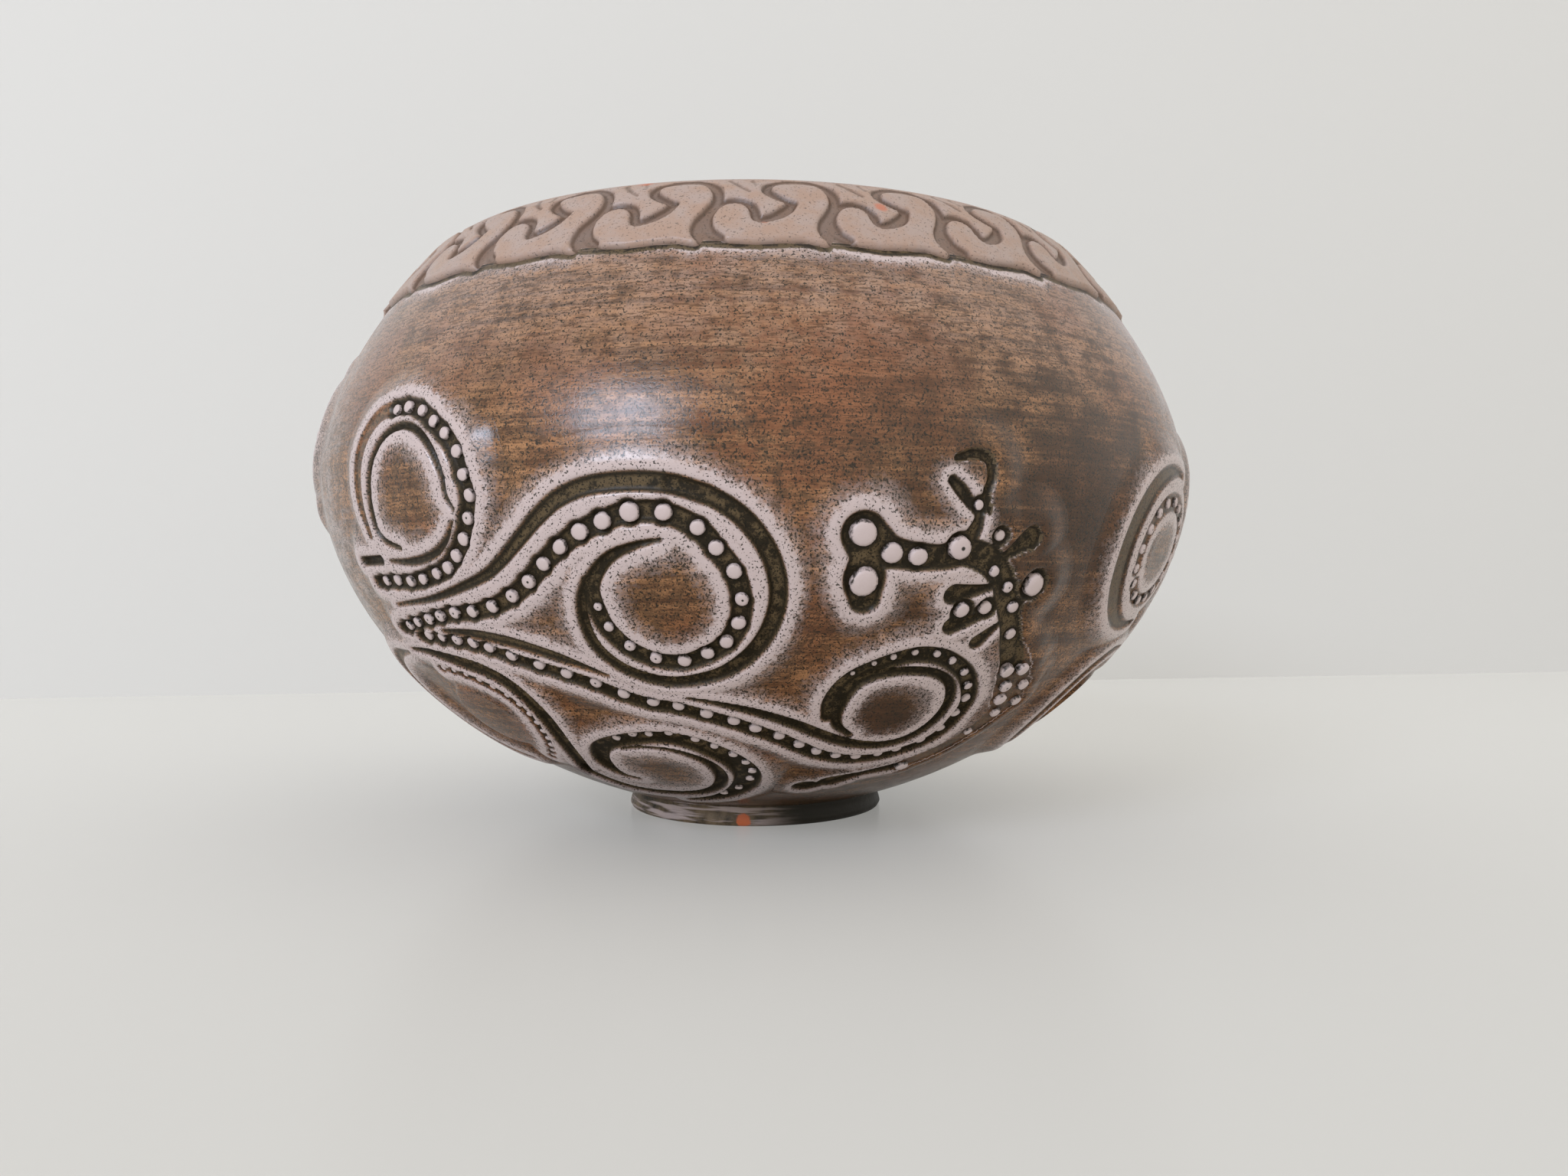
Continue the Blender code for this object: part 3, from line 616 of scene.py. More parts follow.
def new_mesh(name, points, faces=()):
    """A smooth mesh of four-cornered faces, or of points alone."""
    mesh = bpy.data.meshes.new(name)
    mesh.vertices.add(len(points))
    mesh.vertices.foreach_set("co", np.asarray(points, np.float32).ravel())
    if len(faces):
        mesh.loops.add(faces.size)
        mesh.polygons.add(len(faces))
        mesh.loops.foreach_set("vertex_index", faces.astype(np.int32).ravel())
        mesh.polygons.foreach_set("loop_start", np.arange(0, faces.size, 4, dtype=np.int32))
        mesh.update(calc_edges=True)
        mesh.polygons.foreach_set("use_smooth", np.ones(len(faces), bool))
    mesh.update()
    return mesh


def grid_faces(columns, rows):
    """Corners of the faces of a grid, whose points run along the columns, row by row."""
    wide = len(columns)
    corner = (np.arange(len(rows) - 1)[:, None] * wide + np.arange(wide - 1)).ravel()
    return np.stack([corner, corner + 1, corner + wide + 1, corner + wide], -1)


def store(mesh, **values):
    """Keeps named numbers at each point of a mesh."""
    for name, numbers in values.items():
        attribute = mesh.attributes.new(name, "FLOAT", "POINT")
        attribute.data.foreach_set("value", np.full(len(mesh.vertices), numbers, np.float32))


def recall(items, name, kind=np.int32, parts=1):
    """One property of a mesh's items, as an array."""
    values = np.empty(len(items) * parts, kind)
    items.foreach_get(name, values)
    return values


def coordinates(mesh):
    """Points of a mesh."""
    return recall(mesh.vertices, "co", np.float32, 3).reshape(-1, 3).astype(float)


def link(name, data):
    """Puts an object with this data in the scene."""
    obj = bpy.data.objects.new(name, data)
    bpy.context.scene.collection.objects.link(obj)
    return obj


def made_plain(obj, tree, **values):
    """Runs a geometry tree with these inputs on an object and keeps the result as its plain mesh."""
    modifier = obj.modifiers.new(tree.name, "NODES")
    modifier.node_group = tree
    for socket in tree.interface.items_tree:
        if socket.name in values:
            modifier[socket.identifier] = values[socket.name]
    bpy.context.view_layer.update()
    evaluated = obj.evaluated_get(bpy.context.evaluated_depsgraph_get())
    mesh = bpy.data.meshes.new_from_object(evaluated)
    obj.modifiers.remove(modifier)
    obj.data = mesh
    mesh.name = obj.name
    for slot in reversed(range(len(mesh.materials))):
        if mesh.materials[slot] is None:
            mesh.materials.pop(index=slot)
    return obj


def wear(piece, slot, *nodes):
    """The piece rides on the vase's one body, and the frame's parts for these nodes are hidden."""
    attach(piece, "root")
    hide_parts(*nodes)


def wheel_tree():
    """A tree that turns a profile round the axis, as on a potter's wheel."""
    tree, add, given, finish = new_tree(
        "Turn on the wheel",
        [("Profile", "Geometry"), ("Steps", "Int"), ("Rows", "Int"), ("Slip", "Material")])
    columns = add("ShaderNodeMath", (given["Steps"], 1.0), operation="ADD")
    grid = add("GeometryNodeMeshGrid", {"Vertices X": columns, "Vertices Y": given["Rows"]})
    index = add("GeometryNodeInputIndex")
    row = add("ShaderNodeMath", (index, given["Rows"]), operation="FLOORED_MODULO")
    share = add("ShaderNodeMath", (index, given["Rows"]), operation="DIVIDE")
    column = add("ShaderNodeMath", (share,), operation="FLOOR")
    turn = add("ShaderNodeMath", (column, given["Steps"]), operation="DIVIDE")
    angle = add("ShaderNodeMath", (turn, math.tau), operation="MULTIPLY")
    corner = add("GeometryNodeSampleIndex",
                 {"Geometry": given["Profile"], "Value": add("GeometryNodeInputPosition"), "Index": row},
                 data_type="FLOAT_VECTOR")
    swung = add("ShaderNodeVectorRotate", {"Vector": corner, "Angle": angle}, rotation_type="Z_AXIS")
    moved = add("GeometryNodeSetPosition", {"Geometry": grid, "Position": swung})
    closed = add("GeometryNodeMergeByDistance", {"Geometry": moved, "Distance": 0.000002})
    shaded = add("GeometryNodeSetShadeSmooth", {"Geometry": closed})
    real = add("GeometryNodeRealizeInstances", {"Geometry": shaded})
    finish((add("GeometryNodeSetMaterial", {"Geometry": real, "Material": given["Slip"]}),))
    return tree


def turned(name, profile, steps, slip):
    """A piece turned from a profile of (radius, height) that runs up its outer side."""
    obj = link(name, new_mesh(name, [(radius, 0.0, height) for radius, height in profile]))
    return made_plain(obj, wheel_tree(), Steps=steps, Rows=len(profile), Slip=slip)


class VASE_OT_turn_body(bpy.types.Operator):
    """Turns the wall from the foot to the rim's seam, with its floor and its inside."""

    bl_idname = "vase.turn_body"
    bl_label = "Turn the body"

    def execute(self, context):
        sizes = context.scene.vase_turned
        wall = Wall(sizes)
        # Rows up the outside, closest together in the band under the waves, then down the inside
        top = wall.seam + SEAM_LAP
        band = np.arange(wall.seam - 6.0, top, 0.4)
        carved = np.arange(wall.foot, CARVED_TOP, 1.05)
        shoulder = np.linspace(CARVED_TOP, band[0] - 1.0, 9)
        outer = wall.profile(np.concatenate([carved, shoulder, band]), 0.0)
        inner_up = np.linspace(top, wall.up_at_radius(sizes.foot_radius + 0.003), 46)
        rings = RING_DEPTH * np.sin(inner_up / RING_SPACING * math.tau)
        inner = wall.profile(inner_up, rings - sizes.wall)
        seat = outer[0, 1]
        floor = BODY_LOW.z + FLOOR
        profile = [(0.0, BODY_LOW.z), (SPIGOT, BODY_LOW.z), (SPIGOT + 0.0001, seat), *outer, *inner]
        profile += [(inner[-1, 0] * share, floor + 0.0002 * share) for share in (0.75, 0.5, 0.25, 0.0)]
        piece = turned("turned_wall", profile, sizes.steps, rubbed_slip(context.scene.vase_slips))
        mesh = piece.data
        points = coordinates(mesh)
        up = np.interp(points[:, 2], wall.heights, wall.ups)
        outside = np.hypot(points[:, 0], points[:, 1]) > np.interp(up, wall.ups, wall.radii) - 0.001
        degrees = np.degrees(np.arctan2(points[:, 0], -points[:, 1]))
        edge = np.full(len(points), FAR)
        carving = Carving(wall, context.scene.vase_carving)
        edge[outside] = carving.read(degrees[outside], up[outside])[1]
        # A pale streak under the waves comes and goes round the vase, over the painted shadow, with some
        # stain, along their foot
        under = wave_foot(degrees) - up
        streak = 1.7 * (1 + np.sin(np.radians(degrees * 7)) * np.cos(np.radians(degrees * 11)))
        edge = np.minimum(edge, np.maximum(under - 1.1, -1.0) * 1.3 + streak)
        store(mesh, carving_edge=edge, carving_depth=0.9 * sunk(under, *WAVE_SHADOW_SLOPE), bead_edge=FAR)
        mesh.materials.append(raw_clay(context.scene.vase_slips))
        first_corners = recall(mesh.loops, "vertex_index")[recall(mesh.polygons, "loop_start")]
        chosen = recall(mesh.polygons, "material_index")
        chosen[~outside[first_corners]] = len(mesh.materials) - 1
        mesh.polygons.foreach_set("material_index", chosen)
        wear(piece, "body_clay", "thrown_body")
        return {"FINISHED"}


class VASE_OT_turn_foot(bpy.types.Operator):
    """Turns the low foot ring."""

    bl_idname = "vase.turn_foot"
    bl_label = "Turn the foot ring"

    def execute(self, context):
        sizes = context.scene.vase_turned
        radius = sizes.foot_radius
        top = FOOT_HIGH.z + 0.0004
        middle = ((radius + BORE) / 2, 0.0)
        # Round at the table, a little waisted under the body
        insets = [(0.0010, 0.0), (0.0004, 0.0002), (0.0, 0.0009), (0.0002, 0.0018)]
        insets += [(0.0005, top * 0.6), (0.0003, top * 0.85), (0.0001, top)]
        outer = [(radius - inset, height) for inset, height in insets]
        inner = [(BORE, top), (BORE, 0.0012), (BORE + 0.0003, 0.0003), (BORE + 0.0008, 0.0)]
        profile = [middle, *outer, *inner, middle]
        piece = turned("turned_foot", profile, sizes.steps // 2, dark_clay(context.scene.vase_slips))
        wear(piece, "foot_clay", "foot_ring")
        return {"FINISHED"}


class VASE_OT_turn_rim(bpy.types.Operator):
    """Turns the collar that closes the shoulder and ends in the lip."""

    bl_idname = "vase.turn_rim"
    bl_label = "Turn the rim"

    def execute(self, context):
        sizes = context.scene.vase_turned
        wall = Wall(sizes)
        low, high = wall.seam + 0.2, wall.rim - 2.0
        outer = wall.profile(np.linspace(low, high, 24), 0.0)
        inner = wall.profile(np.linspace(high, low, 16), -sizes.wall)
        # The lip is half an ellipse over the wall's two sides
        middle = (outer[-1] + inner[0]) / 2
        across = (outer[-1] - inner[0]) / 2
        upward = np.array([-across[1], across[0]]) / np.hypot(*across) * LIP_RISE
        turn = np.linspace(0, math.pi, 13)[1:-1, None]
        lip = middle + np.cos(turn) * across + np.sin(turn) * upward
        profile = np.vstack([outer, lip, inner, outer[:1]])
        piece = turned("turned_rim", profile, sizes.steps, rim_slip(context.scene.vase_slips))
        store(piece.data, carving_edge=2.0, carving_depth=0.3)
        wear(piece, "rim_clay", "rim_collar")
        return {"FINISHED"}


def bead_tree():
    """A tree that sets a flat-topped bead on each point and joins them to the carved strip."""
    tree, add, given, finish = new_tree(
        "Punched beads",
        [("Strip", "Geometry"), ("Points", "Object"), ("Rise", "Float"), ("Seed", "Int"),
         ("Slip", "Material")])
    # A ball of radius 1, flattened from above
    dome = add("GeometryNodeMeshUVSphere", {"Segments": 14, "Rings": 8, "Radius": 1.0})
    across, along, level = add("ShaderNodeSeparateXYZ", (add("GeometryNodeInputPosition"),)).outputs
    size = add("ShaderNodeMath", (level,), operation="ABSOLUTE")
    flat = add("ShaderNodeMath", (size, 0.3), operation="POWER")
    height = add("ShaderNodeMath", (flat, given["Rise"]), operation="MULTIPLY")
    sign = add("ShaderNodeMath", (level,), operation="SIGN")
    signed = add("ShaderNodeMath", (height, sign), operation="MULTIPLY")
    shape = add("ShaderNodeCombineXYZ", (across, along, signed))
    bead = add("GeometryNodeSetPosition", {"Geometry": dome, "Position": shape})
    placed = add("GeometryNodeStoreNamedAttribute", {"Geometry": bead, "Name": "bead_place", "Value": shape},
                 data_type="FLOAT_VECTOR", domain="POINT")
    painted = add("GeometryNodeSetMaterial", {"Geometry": placed, "Material": given["Slip"]})
    shaded = add("GeometryNodeSetShadeSmooth", {"Geometry": painted})
    # Each bead stands out from the wall, turned by chance and a little uneven
    source = add("GeometryNodeObjectInfo", {"Object": given["Points"]}).outputs["Geometry"]
    outward = add("GeometryNodeInputNamedAttribute", {"Name": "outward"}, data_type="FLOAT_VECTOR")
    radius = add("GeometryNodeInputNamedAttribute", {"Name": "bead_radius"}, data_type="FLOAT")
    spin = add("FunctionNodeRandomValue", {2: 0.0, 3: math.tau, "Seed": given["Seed"]}, data_type="FLOAT")
    stood = add("FunctionNodeAlignRotationToVector", {"Vector": outward}, axis="Z")
    spun = add("FunctionNodeAxisAngleToRotation", {"Axis": (0, 0, 1), "Angle": spin})
    facing = add("FunctionNodeRotateRotation", {"Rotation": stood, "Rotate By": spun}, rotation_space="LOCAL")
    wobble = add("FunctionNodeRandomValue",
                 {0: (0.9, 0.9, 0.85), 1: (1.08, 1.08, 1.1), "Seed": given["Seed"]}, data_type="FLOAT_VECTOR")
    scaled = add("ShaderNodeVectorMath", {0: wobble, "Scale": radius}, operation="SCALE")
    set_beads = add("GeometryNodeInstanceOnPoints",
                    {"Points": source, "Instance": shaded, "Rotation": facing, "Scale": scaled})
    chance = add("FunctionNodeRandomValue", {2: 0.0, 3: 1.0, "Seed": given["Seed"]}, data_type="FLOAT")
    pricked = add("GeometryNodeStoreNamedAttribute",
                  {"Geometry": set_beads, "Name": "bead_chance", "Value": chance},
                  data_type="FLOAT", domain="INSTANCE")
    joined = add("GeometryNodeJoinGeometry", (add("GeometryNodeRealizeInstances", {"Geometry": pricked}),))
    fill(tree, joined, (given["Strip"],))
    finish((joined,))
    return tree


def strip_mesh(wall, carving, sprig):
    """The carved surface of one ornament, up to where its neighbours' cuts are nearer."""
    cells = carving.sizes.grain * 1000
    cuts = [cut for cut in carving.cuts if cut.owner is sprig]
    step = math.degrees(carving.sizes.grain / wall.radii.max())
    low_up = max(min(cut.up.min() for cut in cuts) - STRIP_MARGIN, wall.foot + 1.0)
    high_up = max(cut.up.max() for cut in cuts) + STRIP_MARGIN
    margin = STRIP_MARGIN / wall.degree(low_up)
    low_deg = min(cut.degrees.min() for cut in cuts) - margin
    high_deg = max(cut.degrees.max() for cut in cuts) + margin
    columns = np.arange(math.floor(low_deg / step), math.ceil(high_deg / step) + 1) * step
    rows = np.arange(math.floor(low_up / cells), math.ceil(high_up / cells) + 1) * cells
    degrees, up = [part.ravel() for part in np.meshgrid(columns, rows)]
    depth, rubbed, own, other, bead = carving.read(degrees, up, sprig)
    disc = carving.disc(degrees, up, sprig)
    fade = carving.sizes.fade * 1000
    # The strip lies just over the wall, and dips under a neighbour's strip and into the wall where it ends
    lift = carving.lift(np.minimum(own, other), depth, disc) + 0.00002
    lift -= 0.0005 * np.maximum(own - other - 0.3, 0.0)
    lift -= 0.00030 * np.maximum(own - fade, 0.0) * (1 - disc)
    kept = (own <= other + 0.8) & ((own <= fade + 0.7) | (disc > 0.02))
    faces = grid_faces(columns, rows)
    used, faces = np.unique(faces[kept[faces].all(1)], return_inverse=True)
    mesh = new_mesh(sprig.node, wall.places(degrees[used], up[used], lift[used]), faces.reshape(-1, 4))
    store(mesh, carving_edge=rubbed[used], carving_depth=depth[used], bead_edge=bead[used])
    return mesh


class VASE_OT_carve_scrolls(bpy.types.Operator):
    """Carves the beaded scrolls and the leaf sprays, each on its own strip of the wall."""

    bl_idname = "vase.carve_scrolls"
    bl_label = "Carve scrolls and sprays"

    def execute(self, context):
        wall = Wall(context.scene.vase_turned)
        sizes = context.scene.vase_carving
        carving = Carving(wall, sizes)
        tree = bead_tree()
        surface = rubbed_slip(context.scene.vase_slips)
        bead_finish = bead_slip(context.scene.vase_slips)
        for number, sprig in enumerate(SPRIGS):
            mesh = strip_mesh(wall, carving, sprig)
            mesh.materials.append(surface)
            degrees, up = np.array([place for place, radius in sprig.beads], float).T
            floor = sizes.lip - sizes.cut * sprig.bead_depths()
            points = new_mesh("bead points", wall.places(degrees, up, floor))
            store(points, bead_radius=[radius / 1000 for place, radius in sprig.beads])
            outward = points.attributes.new("outward", "FLOAT_VECTOR", "POINT")
            outward.data.foreach_set("vector", wall.outward(degrees, up).astype(np.float32).ravel())
            helper = link("bead points", points)
            piece = link(f"{sprig.node}_relief_{sprig.copies[0]:02d}", mesh)
            made_plain(piece, tree, Points=helper, Rise=sizes.bead_rise, Seed=number, Slip=bead_finish)
            bpy.data.objects.remove(helper)
            wear(piece, "carved_slip", f"{sprig.node}_{sprig.copies[0]:02d}")
            first = coordinates(piece.data)
            for copy_number, turn in list(zip(sprig.copies, sprig.turns()))[1:]:
                cosine, sine = math.cos(math.radians(turn)), math.sin(math.radians(turn))
                rotation = np.array([[cosine, -sine, 0], [sine, cosine, 0], [0, 0, 1]])
                mesh = piece.data.copy()
                mesh.vertices.foreach_set("co", (first @ rotation.T).astype(np.float32).ravel())
                mesh.update()
                copy = link(f"{sprig.node}_relief_{copy_number:02d}", mesh)
                wear(copy, "carved_slip", f"{sprig.node}_{copy_number:02d}")
        return {"FINISHED"}


def border_tree():
    """A tree that repeats one wave round the rim."""
    tree, add, given, finish = new_tree(
        "Wave border", [("Wave", "Geometry"), ("Count", "Int"), ("Slip", "Material")])
    points = add("GeometryNodePoints", {"Count": given["Count"]})
    turn = add("ShaderNodeMath", (add("GeometryNodeInputIndex"), given["Count"]), operation="DIVIDE")
    angle = add("ShaderNodeMath", (turn, math.tau), operation="MULTIPLY")
    rotation = add("FunctionNodeAxisAngleToRotation", {"Axis": (0, 0, 1), "Angle": angle})
    copies = add("GeometryNodeInstanceOnPoints",
                 {"Points": points, "Instance": given["Wave"], "Rotation": rotation})
    real = add("GeometryNodeRealizeInstances", {"Geometry": copies})
    finish((add("GeometryNodeSetMaterial", {"Geometry": real, "Material": given["Slip"]}),))
    return tree


class VASE_OT_press_waves(bpy.types.Operator):
    """Raises the border of curling waves under the lip."""

    bl_idname = "vase.press_waves"
    bl_label = "Raise the wave border"

    def execute(self, context):
        wall = Wall(context.scene.vase_turned)
        sizes = context.scene.vase_carving
        pitch = 360 / WAVES
        step = pitch / WAVE_CELLS
        # A few cells beyond the wave on either side, for its curling ends
        columns = np.arange(-4, WAVE_CELLS + 10) * step
        rows = np.linspace(*WAVE_SPAN, 56)
        degrees, up = [part.ravel() for part in np.meshgrid(columns, rows)]
        edge = np.full(degrees.shape, FAR)
        depth = np.zeros(degrees.shape)
        for stroke in WAVE_STROKES:
            cut = Cut(None, stroke.depth, stroke.rub, *samples(wall, stroke))
            for turn in (-pitch, 0.0, pitch):
                distance = edge_of(wall, degrees, up, cut, turn)
                depth = np.maximum(depth, stroke.depth * sunk(distance, *WAVE_SLOPE))
                edge = np.minimum(edge, distance)
        # The wave rises over its lower edge and sinks towards the lip; its cuts reach nearly to the collar
        foot = up - wave_foot(WAVE_START + degrees)
        edge = np.minimum(edge, foot + 0.4)
        body = smooth((foot + 0.2) / 0.9)
        crest = 1 - 0.85 * smooth((up - 153.0) / 3.4)
        lift = sizes.wave_rise * (crest * body * (1.0 - 0.92 * depth) - 0.4 * (1 - body))
        side = np.interp(up, *np.transpose(WAVE_SIDE))
        centre = degrees + step / 2
        inside = (centre >= side - pitch) & (centre < side)
        faces = grid_faces(columns, rows)
        faces = faces[inside[faces[:, 0]] & (foot[faces] > -0.9).all(1)]
        used, faces = np.unique(faces, return_inverse=True)
        points = wall.places(WAVE_START + degrees[used], up[used], lift[used])
        mesh = new_mesh("wave", points, faces.reshape(-1, 4))
        # The wave's lower edge is darkened as painted shade, with some stain
        store(mesh, carving_edge=edge[used], carving_depth=np.maximum(depth, 1 - body)[used])
        piece = link("wave_border", mesh)
        made_plain(piece, border_tree(), Count=WAVES, Slip=rim_slip(context.scene.vase_slips))
        wear(piece, "wave_slip", *[f"rim_wave_{number + 1:02d}" for number in range(WAVES)])
        return {"FINISHED"}


def new_material(name):
    """An empty surface material: what adds its nodes, what fills its shader, and its object coordinates."""
    material = bpy.data.materials.new(name)
    material.use_nodes = True
    tree = material.node_tree
    add = partial(add_node, tree)
    finish = partial(fill, tree, tree.nodes["Principled BSDF"])
    return material, add, finish, add("ShaderNodeTexCoord").outputs["Object"]


def streaks(add, place, slant, scale, detail, rough=0.5):
    """Noise drawn out along a line that slants by so many degrees."""
    turn = (0.0, math.radians(slant), 0.0)
    drawn = add("ShaderNodeMapping", {"Vector": place, "Rotation": turn, "Scale": scale})
    return add("ShaderNodeTexNoise", {"Vector": drawn, "Scale": 1.0, "Detail": detail, "Roughness": rough})


def away_from(add, value, middle):
    """How far a value is from a middle one, either way."""
    beside = add("ShaderNodeMath", (value, middle), operation="SUBTRACT")
    return add("ShaderNodeMath", (beside,), operation="ABSOLUTE")


def rubbed_slip(slips):
    """Brown slip brushed over terracotta, carved through, stained dark and rubbed back to pale edges."""
    name = "brushed slip on terracotta"
    if name in bpy.data.materials:
        return bpy.data.materials[name]
    material, add, finish, place = new_material(name)
    edge, depth, bead = [add("ShaderNodeAttribute", attribute_name=stored).outputs["Fac"]
                         for stored in ("carving_edge", "carving_depth", "bead_edge")]
    height = add("ShaderNodeSeparateXYZ", (place,)).outputs[2]
    # As a thin slip dries: clouds of about 25 mm, mottling of about 5 mm, blots of about 2 mm, grains of
    # under a millimetre, and specks of about 0.4 mm, where it left pits
    patterns = ((40.0, 4.0, 0.6), (210.0, 5.0, 0.65), (420.0, 4.0, 0.75), (1100.0, 4.0, 0.75),
                (3000.0, 1.0, 0.5))
    cloud, mottle, blot, grain, speck = [
        add("ShaderNodeTexNoise", {"Vector": place, "Scale": scale, "Detail": detail, "Roughness": rough})
        for scale, detail, rough in patterns]
    # Brush lines a little over a millimetre apart and a few centimetres long, and dashes of 2 mm by half
    brush = streaks(add, place, 5, (28.0, 28.0, 900.0), 3.0, 0.7)
    dash = streaks(add, place, -6, (520.0, 520.0, 3000.0), 2.0, 0.6)
    tone = -0.03
    for noise, weight in ((brush, 0.40), (mottle, 0.30), (grain, 0.36)):
        tone = add("ShaderNodeMath", (noise, weight, tone), operation="MULTIPLY_ADD")
    light = add("ShaderNodeMapRange", (tone, 0.42, 0.55, 0.0, 1.0))
    warmth = add("ShaderNodeMapRange", (cloud, 0.48, 0.64, 0.0, 0.6), **EASED)
    # A paler bloom over the shoulder, in clouds: painted top light and sheen
    bloom_and_top_light = add("ShaderNodeMapRange", (height, 0.070, 0.098, 0.0, 0.36), **EASED)
    cloudy = add("ShaderNodeMapRange", (mottle, 0.38, 0.66, 0.4, 1.4))
    bloom_and_top_light = add("ShaderNodeMath", (bloom_and_top_light, cloudy), operation="MULTIPLY")
    # Darker and browner towards the foot, the dark grains first: painted shade of the lower body, partly a
    # darker slip
    lower = add("ShaderNodeMath", (light, 0.026, height), operation="MULTIPLY_ADD")
    fall = add("ShaderNodeMapRange", (lower, 0.038, 0.090, 0.25, 0.0), **EASED)
    layers = [(light, slips.field), (warmth, slips.warm), (bloom_and_top_light, slips.rim), (fall, slips.shade)]
    wall = Wall(bpy.context.scene.vase_turned)
    # Smudges of the slip, and pale patches of painted sheen near the left and right edges
    for spot, reach, weight, slip in SMUDGES_AND_SHEEN:
        away = add("ShaderNodeVectorMath", (place, wall.point(*spot, 0.0)), operation="DISTANCE")
        cloudy = add("ShaderNodeMath", (mottle, reach * 1.8, away), operation="MULTIPLY_ADD")
        cloudy = add("ShaderNodeMath", (light, reach * 0.4, cloudy), operation="MULTIPLY_ADD")
        smudge_and_sheen = add("ShaderNodeMapRange", (cloudy, reach * 1.2, reach * 2.3, weight, 0.0), **EASED)
        layers.append((smudge_and_sheen, getattr(slips, slip)))
    # Stain left in blots on the brown of the belly, and dark dashes all over
    belt = add("ShaderNodeMapRange", (height, 0.070, 0.090, 0.85, 0.1), **EASED)
    left = add("ShaderNodeMath", (grain, 0.8, blot), operation="MULTIPLY_ADD")
    left = add("ShaderNodeMapRange", (left, 0.91, 0.98, 0.0, 0.72))
    left = add("ShaderNodeMath", (left, belt), operation="MULTIPLY")
    dark = add("ShaderNodeMapRange", (dash, 0.50, 0.63, 0.0, 0.72))
    # The rubbed edge: pale beside a cut, broken into grains where it ends, with a faint, wider one
    ragged = add("ShaderNodeMath", (cloud, 2.0, edge), operation="MULTIPLY_ADD")
    ragged = add("ShaderNodeMath", (grain, 4.0, ragged), operation="MULTIPLY_ADD")
    pale = add("ShaderNodeMapRange", (ragged, 4.4, 6.3, 1.0, 0.0), **EASED)
    ragged = add("ShaderNodeMath", (cloud, 9.0, edge), operation="MULTIPLY_ADD")
    ragged = add("ShaderNodeMath", (grain, 6.0, ragged), operation="MULTIPLY_ADD")
    faint = add("ShaderNodeMapRange", (ragged, 9.0, 12.8, 0.42, 0.0), **EASED)
    pale = add("ShaderNodeMath", (pale, faint), operation="MAXIMUM")
    close = add("ShaderNodeMapRange", (edge, -0.1, 0.4, 0.0, 0.95), **EASED)
    rub = add("ShaderNodeMath", (pale, close), operation="MULTIPLY")
    # The stain: black along the foot of a cut's sides, round each bead and in blots, brown between
    pooled = add("ShaderNodeMath", (blot, 2.8, depth), operation="MULTIPLY_ADD")
    pool = add("ShaderNodeMapRange", (pooled, 2.14, 2.47, 0.0, 0.94))
    rough = add("ShaderNodeMath", (grain, 0.9, edge), operation="MULTIPLY_ADD")
    line = add("ShaderNodeMapRange", (away_from(add, rough, 0.1), 0.1, 0.55, 0.9, 0.0))
    rough = add("ShaderNodeMath", (grain, 1.4, bead), operation="MULTIPLY_ADD")
    around = add("ShaderNodeMapRange", (rough, 1.0, 1.7, 0.95, 0.0))
    darkness = add("ShaderNodeMath", (pool, line), operation="MAXIMUM")
    darkness = add("ShaderNodeMath", (darkness, around), operation="MAXIMUM")
    stain = add("ShaderNodeMix", {0: darkness, 6: slips.groove, 7: slips.stain}, data_type="RGBA")
    # The depth takes the stain into the cuts, and is painted shadow on the wall under the waves
    ragged = add("ShaderNodeMath", (grain, 0.9, depth), operation="MULTIPLY_ADD")
    stained = add("ShaderNodeMapRange", (ragged, 0.60, 0.95, 0.0, 0.97), **EASED)
    # Specks: few on the rubbed edge, most where it breaks up
    sparse = add("ShaderNodeMath", (away_from(add, rub, 0.3), -0.12, speck), operation="MULTIPLY_ADD")
    sparse = add("ShaderNodeMath", (belt, 0.03, sparse), operation="MULTIPLY_ADD")
    pits = add("ShaderNodeMapRange", (sparse, 0.56, 0.61, 0.0, 0.9))
    # Darker still just over the foot: painted shade under the bowl, partly stain
    low = add("ShaderNodeMapRange", (height, 0.004, 0.022, 0.6, 0.0), **EASED)
    layers += [(left, slips.stain), (dark, slips.shade), (rub, slips.rubbed), (stained, stain)]
    layers += [(pits, slips.stain), (low, slips.stain)]
    colour = slips.shade
    for share, slip in layers:
        colour = add("ShaderNodeMix", {0: share, 6: colour, 7: slip}, data_type="RGBA")
    # Waxed and handled: a soft, uneven gloss, duller in the cuts and towards the foot
    gloss = add("ShaderNodeMapRange", (mottle, 0.3, 0.7, 0.15, 0.30))
    gloss = add("ShaderNodeMath", (depth, 0.3, gloss), operation="MULTIPLY_ADD")
    shine = add("ShaderNodeMapRange", (depth, 0.2, 0.8, 0.5, 0.2))
    upper = add("ShaderNodeMapRange", (height, 0.026, 0.068, 0.2, 1.0))
    shine = add("ShaderNodeMath", (shine, upper), operation="MULTIPLY")
    sheen = add("ShaderNodeMapRange", (height, 0.045, 0.085, 0.0, 0.17))
    relief = add("ShaderNodeMath", (brush, 0.6, grain), operation="MULTIPLY_ADD")
    relief = add("ShaderNodeMath", (pits, -0.8, relief), operation="MULTIPLY_ADD")
    bump = add("ShaderNodeBump", {"Strength": 0.10, "Distance": 0.0003, "Height": relief})
    finish({"Base Color": colour, "Roughness": gloss, "Specular IOR Level": shine, "Sheen Weight": sheen,
            "Sheen Roughness": 0.35, "Sheen Tint": linear("#E4DDE4"), "Normal": bump})
    return material


